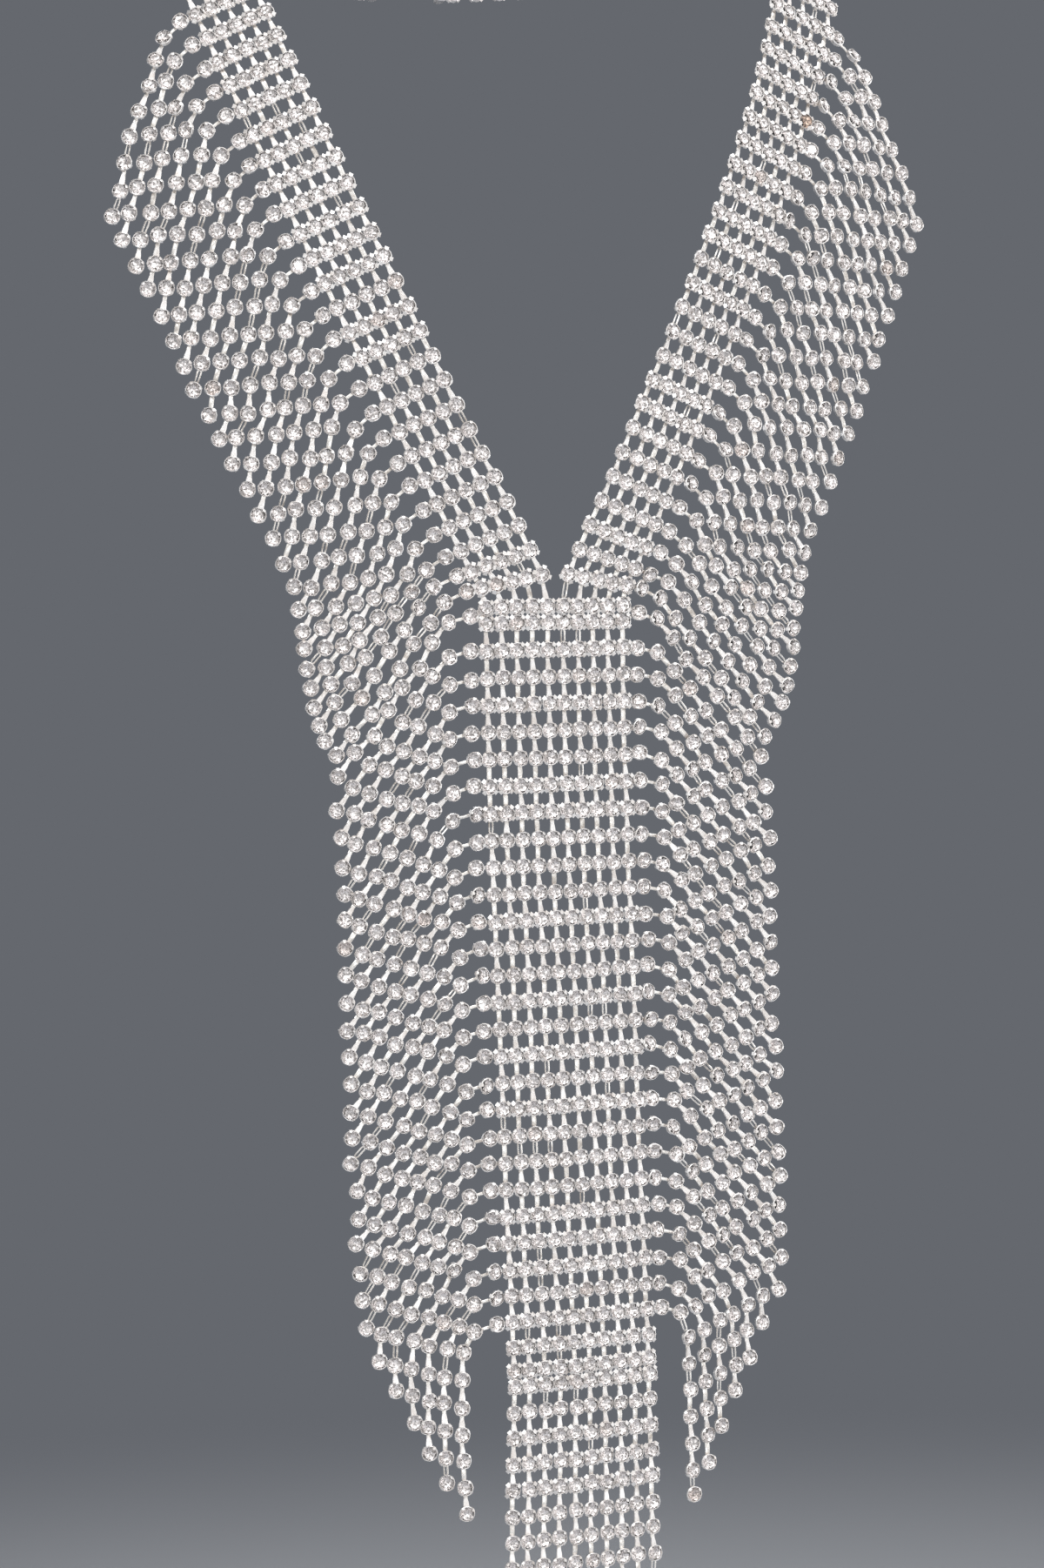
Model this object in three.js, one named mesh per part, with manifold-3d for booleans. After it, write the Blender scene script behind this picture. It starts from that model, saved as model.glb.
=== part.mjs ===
// Rhinestone cup-chain necklace: a V-shaped collar that runs down into a long fringed panel and a tail.
// Millimetres, +Z up. The wearer faces -Y, and left and right are as seen from in front, so +X is right.
// The origin is the point at the nape where the loop rests on the back of the neck.
import * as THREE from 'three';
import { mergeVertices } from 'three/addons/utils/BufferGeometryUtils.js';
import Module from 'manifold-3d';

const wasm = await Module();
wasm.setup();

// ---------------------------------------------------------------- driving dimensions
const CUP_PITCH = 4.2;          // stone to stone across a row, where the cups touch
const CHAIN_PITCH = 7.13;       // stone to stone along a cup chain
const LOW_PITCH = 6.87;         // the same in the panel's lowest rows and the tail
const DOUBLE_PITCH = 4.2;       // between two rows that are soldered edge to edge
const BAND_COLUMNS = 5;         // chains side by side in each arm of the V
const PANEL_COLUMNS = 10;       // chains side by side in the centre panel
const FRINGE_STONES = 8;        // stones that hang from each fringe head

const BAR_WIDTH = 3.8;          // height of a row of cups as a solid bar
const METAL_THICKNESS = 2.2;    // cup and stone together
const SEAM = 0.3;               // gap kept between neighbouring pieces
const STRAND_WIDTH = 2.6;
const FRINGE_SEAM = 0.5;        // from the band's edge to the roots of the fringe

// The loop: the nape lies behind and above the level line of the chest.
const NAPE_BACK = 134;
const NAPE_UP = 160;

// The V: its lowest inner stone, and how each arm leans out as it climbs.
const V_START = { x: 3.6, level: -25.5 };
const V_ROWS = 25;
const ARM_LEAN = { atStart: 26.4, lessPerRowSquared: 0.0131 };
const ROW_SLOPE = { full: 24.2, missingAtStart: 12.9, rowsToSettle: 1.3 };

// The panel: rows 0 and 1 are the double row under the V, rows 29 and 30 carry the tail.
const PANEL_DROP = 8.45;        // from the lowest V stones to the first panel row
const PANEL_FRINGED_ROWS = 28;
const LOW_ROWS_FROM = 26;
const PANEL_SWING = { degrees: 0.9, rowsToReach: 14 };
const SHORT_LINK = 6.3;         // the link above the lower double row
const TAIL_STONES = 8;
const TAIL = { leanDegrees: 2.9, spreadPerMm: 0.0012 };  // it hangs more nearly plumb than the panel

// The fringe: how far each joint of a strand can turn, and the room that a stone takes.
const BOUND_TURNS = [14, 34];   // of the first two joints, where a strand lies on the one below it
const LINK_TURN = 30;           // of the later joints
const FREE_TURNS = { left: [14, 44], right: [22, 54] };  // the lowest strands turn down sooner
const FREE_STRANDS = 2;
const FIRST_LINK = 6.2;
const SECOND_LINK = 6.7;
const STONE_ROOM = {
  arm: { left: 4.7, right: 4.95 },
  panel: { left: 4.3, right: 4.6 },
  spread: 0.3,
};

// The stretch round the neck, and its fastening at the nape.
const NECK_ROWS = 22;
const NECK_PULL = { front: 35, nape: 46, rise: 2 };     // handles of the curve over the shoulder
const NECK_BAR_EVERY = 3;       // one row of cups in three is a solid bar, the others only straps
const END_BAR_WIDTH = 2.4;
const END_BAR_X = 11.5;         // from the middle of the nape to the outer edge of an end bar
const RING = { radius: 2.4, wire: 0.7 };
const CLASP = { wire: 0.8, halfHeight: 2.9 };

const SILVER = new THREE.Color('#d8dade');
const radians = THREE.MathUtils.degToRad;

// ---------------------------------------------------------------- the form that the necklace lies on
/** How far back the chest lies at a place across (x) and at a level above or below the chest line. */
function chestDepth(x, level) {
  const above = Math.max(level, 0);
  const below = Math.max(-level, 0);
  const roundness = 0.0016 * x * x;
  const upperChest = 0.0518 * above - 0.0014 * above ** 2 + 1.25e-5 * above ** 3;
  const belowBust = 0.0714 * below - 0.0001865 * below ** 2;
  return roundness + upperChest + belowBust;
}

function onChest(x, level) {
  return new THREE.Vector3(x, chestDepth(x, level) - NAPE_BACK, level - NAPE_UP);
}

/** Goes a true length over the chest, in a direction given below the horizontal and outwards. */
function walk(from, degreesDown, length) {
  const across = Math.cos(radians(degreesDown));
  const up = -Math.sin(radians(degreesDown));
  const depth = chestDepth(from.x, from.level);
  let run = length;
  for (let pass = 0; pass < 5; pass += 1) {
    const rise = chestDepth(from.x + across * run, from.level + up * run) - depth;
    run *= length / Math.hypot(across * run, up * run, rise);
  }
  return { x: from.x + across * run, level: from.level + up * run };
}

function chestNormal(x, level) {
  const step = 0.5;
  const across = onChest(x + step, level).sub(onChest(x - step, level));
  const up = onChest(x, level + step).sub(onChest(x, level - step));
  return across.cross(up).normalize();
}

// ---------------------------------------------------------------- rows of cups
// A row gives the point of any column (0 is its first stone) and its direction along the chains.

/** Places of the rows of one arm of the V, worked out for +X; the other arm is its mirror image. */
function armRows() {
  const rows = [];
  let start = { ...V_START };
  for (let index = 0; index < V_ROWS; index += 1) {
    const slope = ROW_SLOPE.full - ROW_SLOPE.missingAtStart * Math.exp(-index / ROW_SLOPE.rowsToSettle);
    const lean = ARM_LEAN.atStart - ARM_LEAN.lessPerRowSquared * index ** 2;
    const next = walk(start, lean - 90, CHAIN_PITCH);
    rows.push({ start, slope, next });
    start = next;
  }
  return rows;
}

function armPlace(row, column) {
  if (column === 0) return { ...row.start };
  const down = column > 0 ? row.slope : row.slope + 180;
  return walk(row.start, down, Math.abs(column) * CUP_PITCH);
}

/** Levels of the panel's rows, from the double row under the V to the last tail row. */
function panelLevels() {
  const levels = [V_START.level - PANEL_DROP];
  levels.push(levels[0] - DOUBLE_PITCH);
  for (let row = 2; row <= PANEL_FRINGED_ROWS; row += 1) {
    levels.push(levels[row - 1] - (row >= LOW_ROWS_FROM ? LOW_PITCH : CHAIN_PITCH));
  }
  levels.push(levels.at(-1) - SHORT_LINK);
  levels.push(levels.at(-1) - DOUBLE_PITCH);
  for (let stone = 0; stone < TAIL_STONES; stone += 1) levels.push(levels.at(-1) - LOW_PITCH);
  return levels;
}

const LEVELS = panelLevels();
const TAIL_HEAD_ROW = PANEL_FRINGED_ROWS + 2;

/**
 * A place on the panel: across from its middle, on a row. The panel swings a little to one side; the
 * tail hangs more nearly plumb, and its chains spread a little.
 */
function panelPlace(across, row, drop = 0) {
  const swing = radians(PANEL_SWING.degrees) * Math.min(1, row / PANEL_SWING.rowsToReach);
  const level = LEVELS[row] - drop;
  const below = Math.max(0, LEVELS[TAIL_HEAD_ROW] - level);
  const spread = across * (1 + TAIL.spreadPerMm * below);
  const lean = below * Math.sin(radians(TAIL.leanDegrees));
  return {
    x: spread * Math.cos(swing) - (level - V_START.level) * Math.sin(swing) - lean,
    level: level + across * Math.sin(swing),
  };
}

// ---------------------------------------------------------------- closed solids over a grid
/** Adds one four-sided face as two triangles. */
function addFace(corners, a, b, c, d) {
  corners.push(a, b, c, a, c, d);
}

/**
 * A closed solid over a grid. Each line holds points across the piece, each with a front and a back;
 * the lines follow each other along it. isSolid(along, across) says which cells hold metal.
 */
function gridSolid(lines, isSolid = () => true) {
  const corners = [];
  const alongCells = lines.length - 1;
  const acrossCells = lines[0].length - 1;
  const holds = (i, j) => i >= 0 && j >= 0 && i < alongCells && j < acrossCells && isSolid(i, j);
  for (let i = 0; i < alongCells; i += 1) {
    for (let j = 0; j < acrossCells; j += 1) {
      if (!holds(i, j)) continue;
      const [a, b, c, d] = [lines[i][j], lines[i][j + 1], lines[i + 1][j + 1], lines[i + 1][j]];
      addFace(corners, a.front, b.front, c.front, d.front);
      addFace(corners, d.back, c.back, b.back, a.back);
      if (!holds(i - 1, j)) addFace(corners, a.back, b.back, b.front, a.front);
      if (!holds(i + 1, j)) addFace(corners, c.back, d.back, d.front, c.front);
      if (!holds(i, j - 1)) addFace(corners, d.back, a.back, a.front, d.front);
      if (!holds(i, j + 1)) addFace(corners, b.back, c.back, c.front, b.front);
    }
  }
  const geometry = new THREE.BufferGeometry().setFromPoints(corners);
  return mergeVertices(geometry, 1e-3);
}

/** Mirrors a geometry across the middle of the body and keeps its faces pointing out. */
function mirrored(geometry) {
  const copy = geometry.clone();
  copy.scale(-1, 1, 1);
  const index = copy.getIndex();
  for (let i = 0; i < index.count; i += 3) {
    const second = index.getX(i + 1);
    index.setX(i + 1, index.getX(i + 2));
    index.setX(i + 2, second);
  }
  return copy;
}

function plate(point, normal, thickness = METAL_THICKNESS) {
  return {
    front: point.clone().addScaledVector(normal, thickness / 2),
    back: point.clone().addScaledVector(normal, -thickness / 2),
  };
}

/**
 * A stretch of band: bars for the rows of cups, joined by straps, open between the straps.
 * Each row is { at(column), along, normal }, and soldered where it has no gap to the row before it.
 * reach says how far straps run past the end rows. Where barEvery is more than 1, only that share of
 * the rows are bars.
 */
function bandSolid(rows, columns, openCells, reach, barEvery = 1) {
  const lines = [];
  const half = BAR_WIDTH / 2;
  const addLine = (row, offset) => lines.push(columns.map((column) => {
    const point = row.at(column).addScaledVector(row.along, offset);
    return plate(point, row.normal);
  }));
  if (reach.before > 0) addLine(rows[0], -half - reach.before);
  const bars = new Set();
  rows.forEach((row, index) => {
    if (index % barEvery === 0 || index === rows.length - 1) {
      if (row.soldered) bars.add(lines.length - 1);
      bars.add(lines.length);
      addLine(row, -half);
      addLine(row, half);
    } else {
      addLine(row, 0);
    }
  });
  if (reach.after > 0) addLine(rows.at(-1), half + reach.after);
  return gridSolid(lines, (i, j) => bars.has(i) || !openCells.includes(j));
}

// ---------------------------------------------------------------- booleans
function toManifold(geometry) {
  const bare = geometry.clone();
  bare.deleteAttribute('normal');
  bare.deleteAttribute('uv');
  const merged = mergeVertices(bare, 1e-4);
  return new wasm.Manifold(new wasm.Mesh({
    numProp: 3,
    vertProperties: new Float32Array(merged.attributes.position.array),
    triVerts: new Uint32Array(merged.index.array),
  }));
}

function fuse(geometries) {
  let solid = toManifold(geometries[0]);
  for (const geometry of geometries.slice(1)) solid = solid.add(toManifold(geometry));
  const mesh = solid.getMesh();
  const result = new THREE.BufferGeometry();
  result.setAttribute('position', new THREE.BufferAttribute(new Float32Array(mesh.vertProperties), 3));
  result.setIndex(new THREE.BufferAttribute(new Uint32Array(mesh.triVerts), 1));
  return result;
}

// ---------------------------------------------------------------- the group
const necklace = new THREE.Group();

function addPiece(name, geometry, roughness = 0.3) {
  geometry.computeVertexNormals();
  const material = new THREE.MeshStandardMaterial({ color: SILVER, metalness: 0.9, roughness });
  const mesh = new THREE.Mesh(geometry, material);
  mesh.name = name;
  necklace.add(mesh);
}

/** Adds a piece worked out for +X and its mirror image. */
function addPair(stem, suffix, geometry) {
  addPiece(`${stem}_right${suffix}`, geometry);
  addPiece(`${stem}_left${suffix}`, mirrored(geometry));
}

// ---------------------------------------------------------------- the two arms of the V
const ARM_ROWS = armRows();
const ARM_EDGES = [-0.5, 0.35, BAND_COLUMNS - 1.35, BAND_COLUMNS - 0.5];
const STRAP_LENGTH = CHAIN_PITCH - BAR_WIDTH;

function armRow(index) {
  const row = ARM_ROWS[index];
  const middle = armPlace(row, (BAND_COLUMNS - 1) / 2);
  const normal = chestNormal(middle.x, middle.level);
  const across = onChest(middle.x, middle.level).sub(onChest(row.start.x, row.start.level)).normalize();
  return {
    at: (column) => {
      const place = armPlace(row, column);
      return onChest(place.x, place.level);
    },
    along: normal.clone().cross(across),
    across,
    normal,
  };
}

const ARM_SECTIONS = [
  { name: 'lower', first: 0, last: 7 },
  { name: 'middle', first: 8, last: 15 },
  { name: 'upper', first: 16, last: 24 },
];

for (const section of ARM_SECTIONS) {
  const rows = [];
  for (let index = section.first; index <= section.last; index += 1) rows.push(armRow(index));
  const reach = { before: 0, after: STRAP_LENGTH - SEAM };
  addPair('v_band', `_${section.name}`, bandSolid(rows, ARM_EDGES, [1], reach));
}

// ---------------------------------------------------------------- round the neck to the nape
const NAPE_MIDDLE = METAL_THICKNESS / 2 + SEAM;     // depth of the band's middle layer at the nape
const BAND_HEIGHT = (BAND_COLUMNS - 1) * CUP_PITCH;
const NECK_END_X = END_BAR_X + SEAM + BAR_WIDTH / 2;

/** Rows of the stretch that the collar hides, from the top of the V to the end bar at the nape. */
function neckRows() {
  const lastArmRow = armRow(V_ROWS - 1);
  const { start, next } = ARM_ROWS[V_ROWS - 1];
  const from = onChest(next.x, next.level);
  const leaving = from.clone().sub(onChest(start.x, start.level)).normalize();
  const to = new THREE.Vector3(NECK_END_X, NAPE_MIDDLE, BAND_HEIGHT / 2);
  const edge = new THREE.CubicBezierCurve3(
    from,
    from.clone().addScaledVector(leaving, NECK_PULL.front),
    to.clone().add(new THREE.Vector3(NECK_PULL.nape, 0, NECK_PULL.rise)),
    to,
  );
  const down = new THREE.Vector3(0, 0, -1);
  const rows = [];
  for (let index = 0; index < NECK_ROWS; index += 1) {
    const share = index / (NECK_ROWS - 1);
    const point = edge.getPointAt(share);
    const along = edge.getTangentAt(share).normalize();
    const turn = THREE.MathUtils.smoothstep(share, 0, 1);
    const across = lastArmRow.across.clone().lerp(down, turn);
    across.addScaledVector(along, -across.dot(along)).normalize();
    rows.push({
      at: (column) => point.clone().addScaledVector(across, column * CUP_PITCH),
      along,
      normal: across.clone().cross(along).normalize(),
    });
  }
  return rows;
}

const NECK = neckRows();
const NECK_SECTIONS = [
  { name: 'front', first: 0, last: 9 },
  { name: 'back', first: 10, last: NECK_ROWS - 1 },
];
for (const section of NECK_SECTIONS) {
  const rows = NECK.slice(section.first, section.last + 1);
  const reach = { before: 0, after: section.name === 'front' ? STRAP_LENGTH - SEAM : 0 };
  addPair('neck_band', `_${section.name}`, bandSolid(rows, ARM_EDGES, [1], reach, NECK_BAR_EVERY));
}

// ---------------------------------------------------------------- the fastening at the nape
/** An end bar with a soldered ring; the clasp passes through the ring. */
function endBarSolid() {
  const outer = END_BAR_X;
  const inner = END_BAR_X - END_BAR_WIDTH;
  const height = BAND_COLUMNS * CUP_PITCH;
  const bar = new THREE.BoxGeometry(END_BAR_WIDTH, METAL_THICKNESS, height);
  bar.translate((outer + inner) / 2, NAPE_MIDDLE, 0);
  const ring = new THREE.TorusGeometry(RING.radius, RING.wire, 6, 14);
  ring.translate(inner - RING.radius, NAPE_MIDDLE, 0);
  return fuse([bar, ring]);
}
addPair('end_bar', '', endBarSolid());

/** An oval clasp; its two round ends lie in the rings of the end bars. */
function claspSolid() {
  const ringInside = END_BAR_X - END_BAR_WIDTH - 2 * RING.radius;
  const reachX = ringInside + RING.wire + CLASP.wire + SEAM;
  const straight = reachX - CLASP.halfHeight;
  const points = [];
  const stepsPerEnd = 7;
  for (const side of [1, -1]) {
    for (let step = 0; step <= stepsPerEnd; step += 1) {
      const angle = (side > 0 ? -90 : 90) + (180 * step) / stepsPerEnd;
      points.push(new THREE.Vector3(
        side * straight + CLASP.halfHeight * Math.cos(radians(angle)),
        NAPE_MIDDLE,
        CLASP.halfHeight * Math.sin(radians(angle)),
      ));
    }
  }
  const smooth = new THREE.CatmullRomCurve3(points, true);
  const tube = new THREE.TubeGeometry(smooth, 20, CLASP.wire, 6, true);
  tube.deleteAttribute('normal');
  tube.deleteAttribute('uv');
  return mergeVertices(tube, 1e-3);
}
addPiece('clasp', claspSolid());

// ---------------------------------------------------------------- the centre panel
const PANEL_EDGES = [-5, -4.15, -0.5, 0.5, 4.15, 5];

function panelRow(index) {
  const place = (across, drop) => {
    const { x, level } = panelPlace(across * CUP_PITCH, index, drop);
    return onChest(x, level);
  };
  const middle = panelPlace(0, index);
  return {
    at: (across) => place(across, 0),
    along: place(0, -1).sub(place(0, 0)).normalize(),
    normal: chestNormal(middle.x, middle.level),
    soldered: index === 0,
  };
}

// Rows count downwards, so each section is listed from its last row up to its first.
const PANEL_SECTIONS = [
  { name: 'top', first: 0, last: 9 },
  { name: 'middle', first: 10, last: 19 },
  { name: 'bottom', first: 20, last: TAIL_HEAD_ROW - 1 },
];

for (const section of PANEL_SECTIONS) {
  const rows = [];
  for (let index = section.last; index >= section.first; index -= 1) rows.push(panelRow(index));
  const reach = { before: 0, after: section.first === 0 ? 0 : STRAP_LENGTH - SEAM };
  addPiece(`centre_panel_${section.name}`, bandSolid(rows, PANEL_EDGES, [1, 3], reach));
}

// ---------------------------------------------------------------- strips for hanging chains
/** The lines of a flat strip that lies on the form along a row of places, each { x, level }. */
function stripLines(places, width) {
  const points = places.map(({ x, level }) => onChest(x, level));
  return points.map((point, i) => {
    const before = points[Math.max(i - 1, 0)];
    const after = points[Math.min(i + 1, points.length - 1)];
    const along = after.clone().sub(before).normalize();
    const normal = chestNormal(places[i].x, places[i].level);
    const across = along.clone().cross(normal).normalize();
    return [-width / 2, width / 2].map((offset) => (
      plate(point.clone().addScaledVector(across, offset), normal)
    ));
  });
}

/** Strips side by side, joined to each other only along their first stretch, which is their head. */
function combSolid(strips) {
  const lines = strips[0].map((_, i) => strips.flatMap((strip) => strip[i]));
  return gridSolid(lines, (i, j) => i === 0 || j % 2 === 0);
}

/** The tail: ten chains that hang side by side from one soldered row. */
function tailSolid() {
  const stripWidth = 3;
  const strips = [];
  for (let column = 0; column < PANEL_COLUMNS; column += 1) {
    const across = ((PANEL_COLUMNS - 1) / 2 - column) * CUP_PITCH;
    const places = [panelPlace(across, TAIL_HEAD_ROW, SEAM - DOUBLE_PITCH + BAR_WIDTH / 2)];
    places.push(panelPlace(across, TAIL_HEAD_ROW, BAR_WIDTH / 2));
    for (let row = TAIL_HEAD_ROW + 2; row < LEVELS.length; row += 2) places.push(panelPlace(across, row));
    places.push(panelPlace(across, LEVELS.length - 1, CUP_PITCH / 2));
    strips.push(stripLines(places, stripWidth));
  }
  return combSolid(strips);
}
addPiece('tail_tassel', tailSolid());

// ---------------------------------------------------------------- the fringe
/** A repeatable irregularity between 0 and 1. */
function jitter(key) {
  const value = Math.sin(key * 12.9898) * 43758.5453;
  return value - Math.floor(value);
}

/** Where the strands of one side start, from the lowest up, all worked out towards +X. */
function fringeHeads(side) {
  const outer = PANEL_COLUMNS / 2 + 0.5;
  const edge = PANEL_COLUMNS / 2 + FRINGE_SEAM / CUP_PITCH;
  const tilt = side * PANEL_SWING.degrees;
  const fromPanel = (row, drop) => {
    const place = (across) => {
      const { x, level } = panelPlace(side * across * CUP_PITCH, row, drop);
      return { x: side * x, level };
    };
    const swing = tilt * Math.min(1, row / PANEL_SWING.rowsToReach);
    return { root: place(edge), head: place(outer), slope: -swing, onPanel: true };
  };
  const heads = [];
  for (let row = PANEL_FRINGED_ROWS - 1; row >= 2; row -= 1) heads.push(fromPanel(row, 0));
  heads.push(fromPanel(0, DOUBLE_PITCH / 2));
  for (const row of ARM_ROWS) {
    const root = armPlace(row, BAND_COLUMNS - 0.5 + FRINGE_SEAM / CUP_PITCH);
    heads.push({ root, head: armPlace(row, BAND_COLUMNS), slope: row.slope, onPanel: false });
  }
  return heads;
}

/**
 * Hangs every strand of one side. A strand hangs plumb where it can; where a stone would lie on one of
 * the strand below it, the link swings out until the stone has room. The lowest strands hang free.
 */
function hangFringe(side) {
  const placed = [];
  const lengths = [FIRST_LINK, SECOND_LINK];
  const neighbours = 60;
  return fringeHeads(side).map(({ root, head, slope, onPanel }, strand) => {
    const hand = side > 0 ? 'right' : 'left';
    const room = (onPanel ? STONE_ROOM.panel : STONE_ROOM.arm)[hand];
    const turns = strand < FREE_STRANDS ? FREE_TURNS[hand] : BOUND_TURNS;
    const near = placed.slice(-neighbours);
    const stones = [head];
    let down = slope;
    for (let link = 0; link < FRINGE_STONES; link += 1) {
      const key = (strand * 9 + link) * 2 + (side > 0 ? 1003 : 3);
      const turn = (turns[link] ?? LINK_TURN) * (0.85 + 0.3 * jitter(key));
      const clear = room + STONE_ROOM.spread * jitter(key + 1);
      down = Math.min(90, down + turn);
      let place = walk(stones.at(-1), down, lengths[link] ?? CHAIN_PITCH);
      while (down > -20 && near.some((point) => point.distanceTo(onChest(place.x, place.level)) < clear)) {
        down -= 1;
        place = walk(stones.at(-1), down, lengths[link] ?? CHAIN_PITCH);
      }
      stones.push(place);
    }
    placed.push(...stones.map(({ x, level }) => onChest(x, level)));
    return { root, stones, end: walk(stones.at(-1), down, CUP_PITCH / 2) };
  });
}

// Each comb of the fringe: how many strands it holds, from the lowest comb up.
const COMBS = [6, 6, 5, 5, 5, 5, 5, 5, 5, 5];
const STRIP_STONES = [0, 1, 2, 4, 6];

for (const side of [-1, 1]) {
  const strands = hangFringe(side);
  let first = 0;
  COMBS.forEach((count, comb) => {
    const strips = strands.slice(first, first + count).reverse().map(({ root, stones, end }) => (
      stripLines([root, ...STRIP_STONES.map((index) => stones[index]), end], STRAND_WIDTH)
    ));
    const geometry = combSolid(strips);
    const number = String(COMBS.length - comb).padStart(2, '0');
    const name = `fringe_${side > 0 ? 'right' : 'left'}_${number}`;
    addPiece(name, side > 0 ? geometry : mirrored(geometry));
    first += count;
  });
}

export default necklace;
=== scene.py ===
"""The looks of a rhinestone cup-chain collar: a V of two arms, a fringed centre panel and a tail.

Every stone, cup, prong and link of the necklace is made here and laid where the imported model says.
Lengths are millimetres in the necklace's own frame (+Z up, the wearer faces -Y, the origin at the
nape) until a mesh is written, which is in metres. Left and right are as seen from in front.
"""

from __future__ import annotations

import logging
import math
from dataclasses import dataclass, field, replace
from enum import Enum
from functools import partial
from itertools import islice, product
from typing import Any, Callable, Sequence

import bpy
import numpy as np
from mathutils import Matrix, Vector

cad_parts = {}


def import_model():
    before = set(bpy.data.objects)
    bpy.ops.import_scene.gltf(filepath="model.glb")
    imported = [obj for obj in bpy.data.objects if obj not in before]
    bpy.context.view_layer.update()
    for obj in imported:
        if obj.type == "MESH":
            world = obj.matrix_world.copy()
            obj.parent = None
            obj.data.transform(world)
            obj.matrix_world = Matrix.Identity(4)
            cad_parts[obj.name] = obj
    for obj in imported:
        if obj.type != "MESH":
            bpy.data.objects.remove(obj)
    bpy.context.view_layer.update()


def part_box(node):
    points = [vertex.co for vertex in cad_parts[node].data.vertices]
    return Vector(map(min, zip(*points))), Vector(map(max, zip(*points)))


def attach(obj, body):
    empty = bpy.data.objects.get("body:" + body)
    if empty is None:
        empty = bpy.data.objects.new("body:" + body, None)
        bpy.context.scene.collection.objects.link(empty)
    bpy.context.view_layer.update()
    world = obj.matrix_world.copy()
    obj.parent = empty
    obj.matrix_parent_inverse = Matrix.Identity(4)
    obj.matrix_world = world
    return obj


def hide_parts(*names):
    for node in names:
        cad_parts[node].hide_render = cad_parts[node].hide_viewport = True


LOG = logging.getLogger("collar")

MM = 0.001
CUP_PITCH = 4.2  # stone to stone across a row, where the cups touch
CHAIN_PITCH = 7.13  # stone to stone along a cup chain
DOUBLE_PITCH = 4.2  # between two rows that are soldered edge to edge
BAND_COLUMNS = 5  # chains side by side in each arm
PANEL_COLUMNS = 10  # chains side by side in the panel
METAL_THICKNESS = 2.2  # cup and stone together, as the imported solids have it
SEAM = 0.3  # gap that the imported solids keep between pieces
LAYING_SEED = 16  # chance in how cups, links and stones lie
SORTING_SEED = 7  # chance in the stones' tints

Place = tuple[float, float]  # x and level on the chest
Sections = tuple[tuple[str, int, int], ...]  # a packed section's name, first row and last row
Chance = np.random.Generator
AddNode = Callable[..., bpy.types.Node]


class Side(Enum):
    """A side of the necklace, as seen from in front."""

    LEFT = -1
    RIGHT = 1

    @property
    def word(self) -> str:
        """The side's name as it stands in node names."""
        return self.name.lower()


class LinkStyle(Enum):
    """How the strip of brass between two cups is stamped."""

    STRAP = "strap"
    TONGUE = "tongue"
    LOOP = "loop"
    THIN = "thin"


# ------------------------------------------------------------------------------------ small tools


def linear(hex_colour: str) -> tuple[float, float, float, float]:
    """Turns an sRGB hex colour into linear RGBA, opaque.

    Args:
        hex_colour: Six hex digits after a #.

    Returns:
        Linear red, green, blue and alpha.
    """
    parts = [int(hex_colour[i : i + 2], 16) / 255 for i in (1, 3, 5)]
    red, green, blue = (
        part / 12.92 if part <= 0.04045 else ((part + 0.055) / 1.055) ** 2.4 for part in parts
    )
    return red, green, blue, 1.0


def add_node(
    tree: bpy.types.NodeTree,
    kind: str,
    settings: dict[Any, Any] | None = None,
    links: dict[Any, Any] | None = None,
) -> bpy.types.Node:
    """Adds a node with its settings and links.

    Args:
        tree: Node tree that gets the node.
        kind: Blender's type name for the node, after its ShaderNode.
        settings: Values by input name or number, or by attribute name.
        links: What feeds the node's inputs, by input name or number: a socket, or a node for the
            first output that it uses.

    Returns:
        The new node.
    """
    node = tree.nodes.new(f"ShaderNode{kind}")
    for name, value in (settings or {}).items():
        if isinstance(name, int) or name in node.inputs:
            node.inputs[name].default_value = value
        else:
            setattr(node, name, value)
    for name, source in (links or {}).items():
        if isinstance(source, bpy.types.Node):
            source = next(output for output in source.outputs if output.enabled)
        tree.links.new(source, node.inputs[name])
    return node


def unit(vector: np.ndarray) -> np.ndarray:
    """The vector at a length of one."""
    return vector / np.linalg.norm(vector)


def repeatable(key: float) -> float:
    """The irregularity between 0 and 1 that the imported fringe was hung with."""
    value = math.sin(key * 12.9898) * 43758.5453
    return value - math.floor(value)


def circle(count: int, radius: float, height: float, start: float = 0.0) -> np.ndarray:
    """Points evenly round the Z axis.

    Args:
        count: How many points.
        radius: Their distance from the axis.
        height: Their height.
        start: Bearing of the first, in radians.

    Returns:
        A (count, 3) array.
    """
    angles = start + 2 * math.pi / count * np.arange(count)
    across, along = radius * np.cos(angles), radius * np.sin(angles)
    return np.column_stack([across, along, np.full(count, height)])


def bearing(azimuth: float, elevation: float) -> Vector:
    """The way out at an azimuth, 0 in front of the wearer and 90 to the right, in degrees."""
    a, e = math.radians(azimuth), math.radians(elevation)
    return Vector((math.sin(a) * math.cos(e), -math.cos(a) * math.cos(e), math.sin(e)))


def turned(angle: float) -> np.ndarray:
    """The matrix that turns a shape about its Z axis by an angle in radians."""
    c, s = math.cos(angle), math.sin(angle)
    return np.array([[c, -s, 0.0], [s, c, 0.0], [0.0, 0.0, 1.0]])


# ---------------------------------------------------------------------------------------- finishes


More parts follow.
